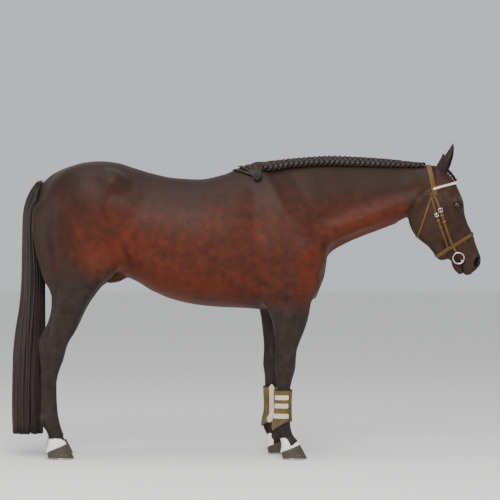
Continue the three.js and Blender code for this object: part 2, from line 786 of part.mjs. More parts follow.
/** One leg as a stack of rings, each corner on the flesh; the lowest rings tip with the hoof's top. */
function legSolid(levels, centreAt, sign) {
  const rings = levels.map(([height, tip]) =>
    Array.from({ length: LEG_CORNERS }, (_, i) => {
      const angle = (i / LEG_CORNERS) * 2 * Math.PI;
      const way = new THREE.Vector3(Math.cos(angle), Math.sin(angle), tip * Math.cos(angle));
      return castOut(centreAt(height, sign), way, 0);
    }),
  );
  return tube(rings);
}

function addLegs() {
  for (const { word, sign } of sides) {
    add(`foreleg_${word}`, legSolid(FORE_LEVELS, foreAt, sign), DARK_COAT);
    add(`hindleg_${word}`, legSolid(HIND_LEVELS, hindAt, sign), DARK_COAT);
  }
}

// Hooves. The wall leans back from the toe, and its top slopes down to the heels.
const HOOF = {
  fore: { x: 268, long: 138, wide: 130, top: [246, 106, 98], middle: 248 },
  hind: { x: -1034, long: 146, wide: 122, top: [-1056, 114, 98], middle: -1056 },
};
const HOOF_CORNERS = 14;

/** A hoof's round: pointed a little at the toe and flatter at the heels. */
function hoofRound(angle) {
  const c = Math.cos(angle);
  const s = Math.sin(angle);
  return [c > 0 ? c : Math.sign(c) * Math.abs(c) ** 0.75, Math.sign(s) * Math.abs(s) ** 0.92];
}

function hoofRing(centreX, centreY, long, wide, height, slope) {
  return Array.from({ length: HOOF_CORNERS }, (_, i) => {
    const [c, s] = hoofRound((i / HOOF_CORNERS) * 2 * Math.PI);
    const dx = (c * long) / 2;
    return new THREE.Vector3(centreX + dx, centreY + (s * wide) / 2, height + slope * dx);
  });
}

function addFeet() {
  for (const { word, sign } of sides)
    for (const end of ["fore", "hind"]) {
      const { x, long, wide, top, middle } = HOOF[end];
      const lag = sign > 0 ? (end === "fore" ? FORE_LAG_FOOT : HIND_LAG_FOOT) : 0;
      const y = sign * LEG_SPREAD;
      const [topX, topLong, topWide] = top;
      const high = CORONET.middle - CORONET.under + (topX - middle) * CORONET.slope;
      const sole = hoofRing(x - lag, y, long, wide, HOOF_FLOOR, 0);
      const low = hoofRing(x - lag - 1, y, long - 1, wide - 1, HOOF_FLOOR + 4, 0);
      const upper = hoofRing(topX - lag + 2, y, topLong + 4, topWide + 3, high - 9, CORONET.slope);
      const coronet = hoofRing(topX - lag, y, topLong - 1, topWide - 1, high, CORONET.slope);
      add(`hoof_${end}_${word}`, tube([sole, low, upper, coronet]), HORN);
      addShoe(`shoe_${end}_${word}`, x - lag, y, long + 2, wide + 2);
    }
}

const SHOE_WEB = 23;

function addShoe(name, x, y, long, wide) {
  const open = 0.72; // how far round the shoe reaches, as a part of half a turn
  const turns = ticks(-Math.PI * open, Math.PI * open, Math.PI / 8);
  const edge = (inset) =>
    turns.map((angle) => {
      const [c, s] = hoofRound(angle);
      return new THREE.Vector2(x + c * (long / 2 - inset), y + s * (wide / 2 - inset));
    });
  const shape = new THREE.Shape([...edge(0), ...edge(SHOE_WEB).reverse()]);
  const bar = new THREE.ExtrudeGeometry(shape, { depth: SHOE_THICK, bevelEnabled: false });
  add(name, solidOf(bar), STEEL);
}

// ---------------------------------------------------------------- tail and mane

const TAIL = [
  // height, rear, front, half width
  [1530, -1196, -1120, 26],
  [1500, -1225, -1140, 36],
  [1360, -1262, -1165, 56],
  [1120, -1268, -1150, 66],
  [980, -1272, -1140, 70],
  [840, -1284, -1140, 72],
  [700, -1306, -1138, 74],
  [540, -1319, -1142, 76],
  [260, -1322, -1148, 74],
  [136, -1320, -1150, 70],
];

function addTail() {
  const rings = TAIL.map(([z, rear, front, half]) =>
    Array.from({ length: 12 }, (_, i) => {
      const angle = (i / 12) * 2 * Math.PI;
      const middle = (rear + front) / 2;
      const x = middle + (Math.cos(angle) * (front - rear)) / 2;
      return keepOff(new THREE.Vector3(x, Math.sin(angle) * half, z), 8);
    }),
  );
  const buttocks = grownFlesh.get("trunk").translate([-4, 0, 0]);
  add("tail", clearOf(tube(rings), "trunk").subtract(buttocks), HAIR);
}

// The plait runs down the right of the crest, from the poll to the withers.
const PLAIT = through([
  // x, height of its middle, half height, half thickness
  [96, 1632, 36, 16],
  [246, 1652, 34, 15],
  [466, 1667, 33, 14],
  [607, 1663, 31, 13],
  [805, 1654, 26, 12],
  [985, 1644, 18, 10],
]);
const PLAIT_TURNS = 21;
const PLAIT_LIFT = 3; // its under side over the neck

function addMane() {
  const right = new THREE.Vector3(0, -1, 0);
  const rings = ticks(0, 1, 1 / (2 * PLAIT_TURNS)).map((t, k) => {
    const x = lerp(96, 985, t);
    const [z, tall, thick] = PLAIT(x);
    const [swell, turn, lean] = k % 2 ? [1, 0.15, 5] : [0.8, 0.4, -3];
    const out = new THREE.Vector3();
    let seat;
    for (let turns = 0; turns < 3; turns += 1) {
      seat = castOut(new THREE.Vector3(x, 0, z - out.z * (thick + PLAIT_LIFT)), right, 0);
      out.set(...outward(bodyDistance, seat.toArray())).setX(0).normalize();
    }
    const up = new THREE.Vector3(0, out.z, -out.y);
    const middle = seat.addScaledVector(out, thick + PLAIT_LIFT).setX(x);
    return Array.from({ length: 6 }, (_, i) => {
      const angle = (i / 6) * 2 * Math.PI + turn;
      const p = middle.clone().addScaledVector(out, Math.sin(angle) * thick * swell);
      p.addScaledVector(up, Math.cos(angle) * tall * swell).x += lean * Math.cos(angle);
      return p;
    });
  });
  add("mane_plait", clearOf(tube(rings), "neck", "trunk"), HAIR);
}

// The loose end of the mane is drawn together in a fan over the withers and tied in a knot on the right.
const KNOT = { x: 62, z: 1566, radii: [33, 16, 30] };
const FAN = [
  // where each lock leaves the crest, and its half width
  [-70, 1612, 9],
  [-38, 1632, 10],
  [2, 1638, 11],
  [44, 1634, 11],
  [84, 1618, 10],
];

function ballAt(centre, radii, detail = 12) {
  const ball = new THREE.SphereGeometry(1, detail, Math.round(detail * 0.7));
  ball.scale(...radii);
  ball.translate(...centre.toArray());
  return solidOf(ball);
}

function addKnot() {
  const right = new THREE.Vector3(0, -1, 0);
  const seat = castOut(new THREE.Vector3(KNOT.x, 0, KNOT.z), right, KNOT.radii[1] - 2);
  let knot = ballAt(seat, KNOT.radii, 8);
  for (const [x, z, half] of FAN) {
    const points = ticks(0, 1, 1 / 3).map((t) => {
      const start = new THREE.Vector3(lerp(x, KNOT.x, t), 0, lerp(z, KNOT.z + 8, t));
      return castOut(start, right, 0);
    });
    knot = knot.add(band(points, () => half, 4.5, 7));
  }
  add("mane_knot", clearOf(knot, "trunk", "neck"), HAIR);
}

const FORELOCK_KNOBS = 4;

function addForelock() {
  let lock;
  for (const t of ticks(0, 1, 1 / (FORELOCK_KNOBS - 1))) {
    const start = new THREE.Vector3(lerp(1104, 1150, t), 0, lerp(1545, 1524, t));
    const seat = castOut(start, new THREE.Vector3(0.5, 0, 0.87), 8);
    const size = lerp(16, 13.5, t);
    const knob = ballAt(seat, [size, size * 1.15, size], 6);
    lock = lock ? lock.add(knob) : knob;
  }
  add("forelock", clearOf(lock, "head"), HAIR);
}

// ---------------------------------------------------------------- bridle

/**
 * A strap laid over flesh along its points, `half(t)` to each side, its under face `lift` clear of the flesh.
 * Its faces have `strips` strips side by side, and every other corner stands `ripple` higher.
 */
function band(points, half, lift, thick, closed = false, strips = 1, ripple = 0) {
  const count = points.length;
  const rings = points.map((p, i) => {
    const before = points[closed ? (i + count - 1) % count : Math.max(i - 1, 0)];
    const after = points[closed ? (i + 1) % count : Math.min(i + 1, count - 1)];
    const normalAt = (q) => new THREE.Vector3(...outward(bodyDistance, q.toArray())).normalize();
    const across = normalAt(p).cross(after.clone().sub(before)).normalize();
    const edge = (way, height) => {
      const q = p.clone().addScaledVector(across, way * half(i / (count - 1)));
      for (let k = 0; k < 3; k += 1) q.addScaledVector(normalAt(q), lift - bodyDistance(...q.toArray()));
      return q.addScaledVector(normalAt(q), height);
    };
    const ways = ticks(-1, 1, 2 / strips);
    const wave = (k) => ripple * ((i + k) % 2);
    const under = ways.map((way, k) => edge(way, wave(k)));
    return [...under, ...ways.map((way, k) => edge(way, thick + wave(k))).reverse()];
  });
  return closed ? hoop(rings) : tube(rings);
}

/** Rings joined all the way round, the last to the first. */
function hoop(rings) {
  const count = rings[0].length;
  const points = rings.flat();
  const faces = [];
  rings.forEach((_, r) => {
    const next = ((r + 1) % rings.length) * count;
    for (let i = 0; i < count; i += 1) {
      const [a, b] = [r * count + i, r * count + ((i + 1) % count)];
      const [c, d] = [next + ((i + 1) % count), next + i];
      faces.push(a, b, c, a, c, d);
    }
  });
  const flat = points.flatMap((p) => p.toArray());
  const solid = solidFrom(flat, faces);
  return solid.volume() < 0 ? solidFrom(flat, faces.reverse()) : solid;
}

/** Places on the flesh around [x, z], in the plane across the horse through `up`, over angles from `up`. */
function around(centre, up, from, to, count) {
  const way = new THREE.Vector3(up[0], 0, up[1]).normalize();
  return ticks(from, to, (to - from) / count).map((degrees) => {
    const angle = THREE.MathUtils.degToRad(degrees);
    const out = way.clone().multiplyScalar(Math.cos(angle));
    out.y = Math.sin(angle);
    return castOut(new THREE.Vector3(centre[0], 0, centre[1]), out, 0);
  });
}

/** Places on one side of the head, along a line in the side view. */
function downSide(route, sign, count) {
  const curve = new THREE.CatmullRomCurve3(route.map(([x, z]) => new THREE.Vector3(x, 0, z)));
  return curve.getSpacedPoints(count).map((p) => castOut(p, new THREE.Vector3(0, sign, 0), 0));
}

const STRAP = { under: 5, over: 9.2, thick: 3.5 };
const CHEEK_ROUTE = [[1054, 1466], [1070, 1430], [1087, 1384], [1110, 1314], [1138, 1240], [1174, 1166]];
const HANGER_ROUTE = [[1040, 1464], [1050, 1415], [1065, 1359], [1086, 1303], [1143, 1163]];

function addBridle() {
  const { under, over, thick } = STRAP;
  const crown = around([1044, 1540], [-0.19, 0.98], -131, 131, 18);
  add("bridle_crownpiece", clearOf(band(crown, () => 14, under, thick), "head", "neck"), LEATHER);
  const brow = around([1068, 1512], [0.966, 0.256], -87, 87, 12);
  add("bridle_browband", band(brow, () => 8.5, under, 5), BEADS);
  const throat = around([1003, 1362], [-0.316, -0.949], -137, 137, 22);
  add("bridle_throatlatch", clearOf(band(throat, () => 6, under + 2, thick), "head", "neck"), LEATHER);
  const nose = around([1176, 1194], [0.85, 0.527], 0, 348, 29);
  let noseband = band(nose, () => 10.5, under, thick, true);
  for (const { word, sign } of sides) {
    noseband = noseband.add(band(downSide(HANGER_ROUTE, sign, 10), () => 5.5, under, thick));
    add(`bridle_cheekpiece_${word}`, band(downSide(CHEEK_ROUTE, sign, 11), () => 7, over, thick), LEATHER);
    addBuckle(`bridle_cheek_buckle_${word}`, CHEEK_ROUTE[2], CHEEK_ROUTE[3], sign, over + thick, 22);
    addBuckle(`bridle_nose_buckle_${word}`, HANGER_ROUTE[2], HANGER_ROUTE[3], sign, under + thick, 18);
    addBitRing(word, sign);
  }
  add("bridle_noseband", clearOf(noseband, "head"), LEATHER);
}

function addBuckle(name, at, next, sign, lift, size) {
  const seat = castOut(new THREE.Vector3(at[0], 0, at[1]), new THREE.Vector3(0, sign, 0), 0);
  const out = new THREE.Vector3(...outward(bodyDistance, seat.toArray())).normalize();
  const run = new THREE.Vector3(next[0] - at[0], 0, next[1] - at[1]);
  run.addScaledVector(out, -run.dot(out)).normalize();
  const frame = new THREE.Matrix4().makeBasis(run, new THREE.Vector3().crossVectors(out, run), out);
  frame.setPosition(seat.addScaledVector(out, lift + 1.2));
  const rim = size / 2;
  const outline = new THREE.Shape();
  outline.moveTo(-rim, -rim).lineTo(rim, -rim).lineTo(rim, rim).lineTo(-rim, rim).closePath();
  const inner = rim - 3.5;
  const hole = new THREE.Path();
  hole.moveTo(-inner, -inner).lineTo(-inner, inner).lineTo(inner, inner).lineTo(inner, -inner).closePath();
  outline.holes.push(hole);
  const plate = new THREE.ExtrudeGeometry(outline, { depth: 3, bevelEnabled: false });
  add(name, solidOf(plate.applyMatrix4(frame)), STEEL);
}

const BIT = { x: 1193, z: 1118, ring: 31, wire: 4.2, corner: [1213, 1101] };

function addBitRing(word, sign) {
  const seat = castOut(new THREE.Vector3(BIT.x, 0, BIT.z), new THREE.Vector3(0, sign, 0), 0);
  const ring = new THREE.TorusGeometry(BIT.ring, BIT.wire, 5, 14);
  ring.rotateX(Math.PI / 2);
  ring.rotateZ(-sign * 0.1);
  ring.translate(BIT.x, seat.y + sign * 13, BIT.z);
  const end = new THREE.CylinderGeometry(8, 6, 22, 8);
  end.rotateX(sign * Math.PI * 0.5);
  end.translate(BIT.corner[0], seat.y + sign * 8, BIT.corner[1]);
  add(`bit_ring_${word}`, clearOf(solidOf(ring).add(solidOf(end)), "head"), STEEL);
}

// ---------------------------------------------------------------- front boots

const BOOT = { thick: 6, lift: 4, strap: 3, straps: [343, 297, 241], strapTall: 26, arch: 2 };
const BOOT_LEVELS = [
  // height, how much lower the back hangs
  [212, 54],
  [232, 34],
  [258, 16],
  [290, 5],
  [330, 0],
  [384, 0],
];

const PAD = [
  // the pad inside the boot: height, angle round the leg, half width
  [398, -1.62, 4],
  [380, -1.62, 17],
  [355, -1.62, 14],
  [230, -1.7, 14],
  [200, -1.85, 20],
  [182, -1.95, 20],
];

/** Places on one height of a foreleg, from angle to angle round it: 0 is the front, half a turn the back. */
function roundLeg(height, sign, from, to, count) {
  return ticks(from, to, (to - from) / count).map((angle) =>
    castOut(foreAt(height, sign), new THREE.Vector3(Math.cos(angle), sign * Math.sin(angle), 0), 0),
  );
}

function addBoots() {
  const lift = BOOT.lift + BOOT.thick + 1.6;
  for (const { word, sign } of sides) {
    const loop = (height, drop, clear) =>
      Array.from({ length: LEG_CORNERS }, (_, i) => {
        const angle = (i / LEG_CORNERS) * 2 * Math.PI;
        const middle = foreAt(height - drop * ((1 - Math.cos(angle)) / 2) ** BOOT.arch, sign);
        return castOut(middle, new THREE.Vector3(Math.cos(angle), Math.sin(angle), 0), clear);
      });
    const outer = tube(BOOT_LEVELS.map(([z, drop]) => loop(z, drop, BOOT.lift + BOOT.thick)));
    const inside = [[192, 70], ...BOOT_LEVELS.slice(0, 5), [396, 0]];
    const inner = tube(inside.map(([z, drop]) => loop(z, drop, BOOT.lift)));
    add(`boot_${word}`, outer.subtract(inner), LEATHER);
    BOOT.straps.forEach((z, i) => {
      const path = roundLeg(z, sign, 0.85, Math.PI - 0.3, 7);
      const strap = band(path, () => BOOT.strapTall / 2, lift, BOOT.strap);
      add(`boot_strap_${word}_${i + 1}`, strap, CREAM);
    });
    const pad = PAD.map(([z, angle]) => roundLeg(z, sign, angle, 0, 1)[0]);
    const flare = (t) => PAD[Math.round(t * (PAD.length - 1))][2];
    add(`boot_pad_${word}`, band(pad, flare, lift + 1, BOOT.strap, false, 3, 0.8), CREAM);
  }
}

addTrunk();
addNeck();
addHead();
addEyes();
addEars();
addLegs();
addFeet();
addTail();
addMane();
addKnot();
addForelock();
addBridle();
addBoots();

export default horse;
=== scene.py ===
import logging
import math
from dataclasses import dataclass
from typing import Callable, Iterable, Sequence

import bpy
import numpy as np
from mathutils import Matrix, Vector
from mathutils.bvhtree import BVHTree


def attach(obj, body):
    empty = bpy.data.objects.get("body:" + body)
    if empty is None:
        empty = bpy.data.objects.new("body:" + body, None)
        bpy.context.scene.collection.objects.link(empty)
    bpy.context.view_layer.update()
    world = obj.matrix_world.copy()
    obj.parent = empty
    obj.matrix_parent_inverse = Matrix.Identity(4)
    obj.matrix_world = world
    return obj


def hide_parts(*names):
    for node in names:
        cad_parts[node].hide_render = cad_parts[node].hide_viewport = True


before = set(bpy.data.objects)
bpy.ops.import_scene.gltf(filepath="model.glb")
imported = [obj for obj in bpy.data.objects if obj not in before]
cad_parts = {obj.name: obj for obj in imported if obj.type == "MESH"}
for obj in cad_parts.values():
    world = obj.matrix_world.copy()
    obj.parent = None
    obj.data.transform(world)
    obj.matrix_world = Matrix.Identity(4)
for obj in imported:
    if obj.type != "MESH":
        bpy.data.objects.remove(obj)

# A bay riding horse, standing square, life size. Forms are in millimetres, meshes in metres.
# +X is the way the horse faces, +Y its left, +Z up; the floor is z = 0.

LOG = logging.getLogger("horse")
Array = np.ndarray
Form = Callable[[Array, Array, Array], Array]
MM = 0.001
SIDES = (("left", 1.0), ("right", -1.0))


# ---------------------------------------------------------------- small mathematics


def lerp(a, b, t):
    """Returns the value a part `t` of the way from a to b."""
    return a + (b - a) * t


def ramp(low: float, high: float, value: Array) -> Array:
    """Returns 0 below `low`, 1 above `high`, and a smooth rise between."""
    t = np.clip((value - low) / (high - low), 0.0, 1.0)
    return t * t * (3.0 - 2.0 * t)


def unit(v: Array) -> Array:
    """Returns vectors of length one."""
    return v / np.maximum(np.linalg.norm(v, axis=-1, keepdims=True), 1e-9)


def hermite(a: Array, b: Array, m: Array, n: Array, u: Array) -> Array:
    """Returns the cubic from a to b, with slopes m and n at its ends, a part `u` of the way along."""
    u2, u3 = u * u, u * u * u
    return a * (2 * u3 - 3 * u2 + 1) + m * (u3 - 2 * u2 + u) + b * (3 * u2 - 2 * u3) + n * (u3 - u2)


def around_circle(count: int) -> Array:
    """Returns even angles once round a circle."""
    return np.linspace(0, 2 * math.pi, count + 1)[:-1]


def through(rows: Sequence[Sequence[float]]) -> Callable[[Array], Array]:
    """A smooth curve through rows [at, value, ...], which never swings past its neighbours.

    Args:
        rows: places along the curve, each with its values.
    Returns:
        A function from places to values, the values first.
    """
    table = np.asarray(rows, float)
    at, values = table[:, 0], table[:, 1:]
    slope = np.diff(values, axis=0) / np.diff(at)[:, None]
    tangent = np.zeros_like(values)
    agree = slope[:-1] * slope[1:]
    total = np.where(agree > 0, slope[:-1] + slope[1:], 1.0)
    tangent[1:-1] = np.where(agree > 0, 2.0 * agree / total, 0.0)

    def curve(s: Array) -> Array:
        """Returns the values at places."""
        t = np.clip(np.asarray(s, float), at[0], at[-1])
        i = np.clip(np.searchsorted(at, t, side="right") - 1, 0, len(at) - 2)
        h = (at[i + 1] - at[i])[..., None]
        u = (t - at[i])[..., None] / h
        out = hermite(values[i], values[i + 1], tangent[i] * h, tangent[i + 1] * h, u)
        return np.moveaxis(out, -1, 0)

    return curve


def blend(a: Array, b: Array, soft: float) -> Array:
    """Returns two distances joined with a fillet about `soft` wide."""
    near = np.maximum(soft - np.abs(a - b), 0.0) / soft
    return np.minimum(a, b) - near * near * soft / 4.0


def carve(a: Array, b: Array, soft: float) -> Array:
    """Returns distance a with b taken out of it, the edge rounded over `soft`."""
    return -blend(-a, b, soft)


# ---------------------------------------------------------------- forms


def capped(around: Array, past: Array) -> Array:
    """Returns the distance to a long form, from the distance to its sides and the distance past its ends."""
    inside = np.minimum(np.maximum(around, past), 0.0)
    return inside + np.hypot(np.maximum(around, 0.0), np.maximum(past, 0.0))


def loft(rows: Sequence[Sequence[float]]) -> Form:
    """A long form, from its cross sections.

    Args:
        rows: [along, high, low, half width, height where it is widest, squareness above it, and below].
    Returns:
        The form's distance, negative inside.
    """
    at = through(rows)
    first, last = rows[0][0], rows[-1][0]

    def distance(along: Array, height: Array, side: Array) -> Array:
        """Returns how far places are outside."""
        high, low, half, widest, square_high, square_low = at(along)
        v = height - widest
        reach = np.where(v > 0, high - widest, widest - low)
        power = np.where(v > 0, square_high, square_low)
        size = (np.abs(side / half) ** power + np.abs(v / reach) ** power) ** (1.0 / power)
        beyond = np.hypot(side, v) * (1.0 - 1.0 / np.maximum(size, 1e-6))
        around = np.where(size < 1e-6, -np.minimum(half, reach), beyond)
        return capped(around, np.maximum(first - along, along - last))

    return distance


def egg(centre: Sequence[float], radii: Sequence[float], turn: float = 0.0) -> Form:
    """An ellipsoid at [along, height, side], turned by `turn` degrees in the side view."""
    c, s = math.cos(math.radians(turn)), math.sin(math.radians(turn))

    def distance(along: Array, height: Array, side: Array) -> Array:
        """Returns how far places are outside."""
        a, h = along - centre[0], height - centre[1]
        p = (a * c + h * s) / radii[0]
        q = (h * c - a * s) / radii[1]
        r = (side - centre[2]) / radii[2]
        size = np.sqrt(p * p + q * q + r * r)
        steep = np.sqrt((p / radii[0]) ** 2 + (q / radii[1]) ** 2 + (r / radii[2]) ** 2)
        return np.where(steep < 1e-9, -min(radii), size * (size - 1.0) / np.maximum(steep, 1e-9))

    return distance


def bar(a: Sequence[float], b: Sequence[float], radius_a: float, radius_b: float) -> Form:
    """A round bar between two [along, height, side] ends, with its own radius at each."""
    d = [b[k] - a[k] for k in range(3)]
    square = sum(v * v for v in d)

    def distance(along: Array, height: Array, side: Array) -> Array:
        """Returns how far places are outside."""
        p, q, r = along - a[0], height - a[1], side - a[2]
        t = np.clip((p * d[0] + q * d[1] + r * d[2]) / square, 0.0, 1.0)
        gap = np.sqrt((p - t * d[0]) ** 2 + (q - t * d[1]) ** 2 + (r - t * d[2]) ** 2)
        return gap - lerp(radius_a, radius_b, t)

    return distance


def joined(parts: Sequence[tuple[Form, float]]) -> Form:
    """Forms blended one after another, each with its own fillet."""

    def distance(along: Array, height: Array, side: Array) -> Array:
        """Returns how far places are outside."""
        out = parts[0][0](along, height, side)
        for form, soft in parts[1:]:
            out = blend(out, form(along, height, side), soft)
        return out

    return distance


# ---------------------------------------------------------------- the body's forms

TRUNK = joined([
    (loft([
        [-1165, 1545, 1240, 88, 1400, 2.0, 2.0],
        [-1100, 1592, 1110, 152, 1400, 2.0, 2.0],
        [-1000, 1638, 1040, 218, 1400, 2.0, 2.0],
        [-900, 1664, 1020, 262, 1400, 2.0, 2.0],
        [-828, 1669, 1018, 280, 1400, 2.1, 2.0],
        [-735, 1661, 1024, 281, 1380, 2.0, 2.0],
        [-627, 1629, 988, 284, 1310, 2.0, 2.1],
        [-537, 1602, 934, 292, 1240, 2.0, 2.2],
        [-402, 1574, 879, 306, 1190, 2.1, 2.2],
        [-267, 1567, 851, 313, 1165, 2.1, 2.2],
        [-133, 1592, 839, 304, 1150, 1.9, 2.2],
        [-10, 1642, 834, 282, 1140, 1.7, 2.2],
        [70, 1655, 828, 264, 1130, 1.65, 2.2],
        [160, 1640, 826, 250, 1120, 1.7, 2.2],
        [250, 1560, 832, 238, 1110, 1.8, 2.2],
        [330, 1440, 850, 220, 1100, 2.0, 2.2],
        [390, 1310, 890, 190, 1090, 2.0, 2.2],
    ]), 0),
    (egg([330, 1085, 62], [118, 170, 118]), 70),  # breast
    (bar([85, 1540, 70], [330, 1170, 140], 62, 96), 90),  # shoulder blade
    (bar([330, 1120, 142], [190, 950, 150], 92, 84), 60),  # upper arm
    (egg([165, 1090, 150], [120, 200, 92], 28), 60),  # elbow muscle
    (egg([-905, 1400, 138], [225, 225, 140], -14), 70),  # haunch
    (egg([-742, 1535, 205], [70, 62, 62], -20), 60),  # hip bone
    (egg([-800, 1075, 168], [78, 100, 74], -30), 60),  # stifle
])
NECK = joined([
    (loft([
        [60, 1640, 1180, 120, 1400, 1.7, 2.0],
        [180, 1654, 1060, 168, 1370, 1.6, 2.0],
        [320, 1664, 1085, 166, 1370, 1.6, 2.0],
        [447, 1672, 1134, 146, 1380, 1.55, 2.0],
        [545, 1674, 1186, 126, 1400, 1.55, 2.0],
        [629, 1671, 1228, 112, 1415, 1.6, 2.0],
        [772, 1663, 1283, 96, 1440, 1.7, 2.0],
        [870, 1653, 1322, 86, 1465, 1.8, 2.0],
        [950, 1646, 1372, 80, 1490, 2.0, 2.0],
        [1040, 1640, 1440, 72, 1520, 2.0, 2.0],
    ]), 0),
    (bar([960, 1440, 52], [360, 1230, 118], 38, 62), 50),  # the long muscle under the neck
])
HEAD = joined([
    (loft([
        [-40, 22, -120, 56, -30, 2.2, 2.0],
        [0, 56, -135, 66, -10, 2.3, 2.0],
        [50, 84, -140, 75, 10, 2.4, 2.0],
        [98, 96, -140, 82, 25, 2.5, 2.0],
        [150, 100, -140, 87, 30, 2.5, 2.0],
        [196, 103, -140, 88, 32, 2.5, 2.0],
        [245, 94, -130, 84, 28, 2.3, 2.0],
        [283, 86, -120, 79, 22, 2.1, 2.0],
        [332, 84, -108, 71, 14, 2.0, 2.0],
        [382, 90, -96, 62, 6, 2.0, 2.0],
        [425, 92, -84, 55, 6, 2.0, 2.0],
        [472, 93, -66, 51, 12, 2.1, 2.0],
        [514, 93, -52, 52, 24, 2.2, 2.0],
        [545, 84, -44, 52, 26, 2.2, 2.0],
        [575, 63, -40, 46, 16, 2.1, 2.0],
        [595, 38, -37, 36, 2, 2.0, 2.0],
        [608, 10, -30, 20, -10, 2.0, 2.0],
    ]), 0),
    (egg([206, 50, 74], [50, 40, 32], 20), 26),  # bone round the eye
    (bar([150, 12, 80], [330, 14, 66], 17, 13), 26),  # cheek ridge
    (egg([238, -112, 40], [136, 117, 47]), 40),  # jowl
    (bar([300, -148, 34], [450, -114, 24], 46, 35), 40),  # jaw
    (bar([440, -112, 12], [492, -60, 10], 25, 21), 22),  # chin groove
    (egg([545, 54, 34], [42, 26, 20], -12), 16),  # nostril
    (egg([572, 0, 0], [40, 44, 42]), 24),  # upper lip
    (joined([  # chin and lower lip
        (egg([536, -62, 0], [50, 27, 32], 6), 0),
        (egg([572, -52, 0], [26, 18, 30]), 18),
    ]), 14),
])
FORE_COLUMN = loft([
    [28, 306, 186, 46, 250, 2.1, 2.1],
    [60, 303, 190, 46, 249, 2.1, 2.1],
    [82, 300, 192, 46, 246, 2.1, 2.1],
    [104, 286, 188, 40, 234, 2.1, 2.1],
    [124, 268, 178, 36, 222, 2.1, 2.1],
    [148, 256, 161, 37, 208, 2.1, 2.1],
    [174, 250, 150, 40, 200, 2.2, 2.1],
    [204, 247, 152, 39, 200, 2.2, 2.1],
    [246, 243, 161, 32, 204, 2.3, 2.2],
    [310, 242, 166, 28, 206, 2.4, 2.3],
    [386, 247, 168, 31, 208, 2.3, 2.3],
    [436, 257, 168, 39, 212, 2.3, 2.2],
    [476, 269, 163, 47, 216, 2.4, 2.2],
    [516, 277, 158, 50, 218, 2.4, 2.2],
    [556, 279, 160, 48, 220, 2.3, 2.2],
    [602, 284, 162, 45, 222, 2.2, 2.1],
    [652, 300, 159, 48, 226, 2.1, 2.1],
    [722, 328, 150, 56, 232, 2.1, 2.1],
    [773, 344, 138, 62, 238, 2.1, 2.1],
    [812, 353, 124, 67, 240, 2.1, 2.1],
    [858, 360, 108, 72, 240, 2.1, 2.1],
    [910, 376, 98, 78, 240, 2.1, 2.1],
    [985, 400, 96, 84, 245, 2.1, 2.1],
])
HIND_COLUMN = loft([
    [28, -998, -1122, 46, -1060, 2.1, 2.1],
    [72, -998, -1114, 45, -1056, 2.1, 2.1],
    [98, -1008, -1106, 40, -1056, 2.1, 2.1],
    [124, -1018, -1103, 36, -1060, 2.1, 2.1],
    [154, -1028, -1114, 35, -1070, 2.1, 2.1],
    [189, -1037, -1142, 39, -1086, 2.1, 2.1],
    [226, -1045, -1158, 41, -1096, 2.2, 2.1],
    [268, -1050, -1152, 34, -1098, 2.3, 2.2],
    [325, -1054, -1148, 29, -1098, 2.4, 2.3],
    [410, -1056, -1147, 29, -1098, 2.4, 2.3],
    [455, -1050, -1147, 33, -1098, 2.3, 2.2],
    [500, -1037, -1149, 40, -1090, 2.3, 2.2],
    [550, -1018, -1155, 47, -1080, 2.3, 2.1],
    [610, -1003, -1162, 49, -1074, 2.2, 2.0],
    [652, -986, -1164, 46, -1064, 2.1, 1.9],
    [700, -956, -1140, 46, -1030, 2.1, 1.8],
    [760, -929, -1110, 53, -1006, 2.1, 1.9],
    [806, -912, -1096, 60, -996, 2.1, 2.0],
    [850, -892, -1089, 68, -985, 2.1, 2.1],
    [896, -864, -1088, 76, -972, 2.1, 2.1],
    [940, -834, -1100, 85, -964, 2.1, 2.1],
    [1000, -792, -1133, 98, -960, 2.1, 2.1],
    [1072, -742, -1156, 112, -945, 2.1, 2.0],
    [1160, -720, -1178, 122, -930, 2.1, 1.85],
    [1250, -715, -1195, 127, -920, 2.1, 1.75],
    [1330, -720, -1204, 126, -915, 2.1, 1.7],
    [1420, -740, -1192, 116, -915, 2.1, 1.7],
])
LEG_SPREAD = 136.0
FORE_MIDDLE = through([[0, LEG_SPREAD], [500, LEG_SPREAD], [800, 144], [1000, 150]])
HIND_MIDDLE = through([[0, LEG_SPREAD], [600, LEG_SPREAD], [860, 146], [1000, 141], [1200, 126], [1420, 116]])
BETWEEN_LEGS = -400.0  # x between the forelegs and the hind ones
# How far back the left leg stands behind the right one: at the hooves, and over the leg's height.
FORE_HOOF_LAG, HIND_HOOF_LAG = 77.0, 34.0
FORE_LAG = through([[60, FORE_HOOF_LAG], [215, 54], [430, 66], [700, 64], [850, 44], [1050, 0]])
HIND_LAG = through([[60, HIND_HOOF_LAG], [700, 20], [1100, 0]])
# Height of the hoof's top where its middle stands, x of those middles on the right, and the top's slope.
HOOF_TOP, FORE_HOOF_X, HIND_HOOF_X, HOOF_SLOPE = 61.0, 248.0, -1056.0, 0.40
HEAD_X, HEAD_Z, HEAD_TILT = 1060.0, 1600.0, math.radians(19.75)
COS, SIN = math.cos(HEAD_TILT), math.sin(HEAD_TILT)


def in_head(x: Array, z: Array) -> tuple[Array, Array]:
    """Returns how far down the face, and how far out of the forehead, a world place stands."""
    a, b = x - HEAD_X, z - HEAD_Z
    return a * SIN - b * COS, a * COS + b * SIN


def on_head(x: Array, along: Array) -> Array:
    """Says which places are on the head."""
    return (along > 10) & (x > 960)


def as_right(x: Array, z: Array, left: Array) -> Array:
    """Returns x moved forward on the left legs, so that both legs of a pair share their places."""
    return x + np.where(x > BETWEEN_LEGS, FORE_LAG(z)[0], HIND_LAG(z)[0]) * left


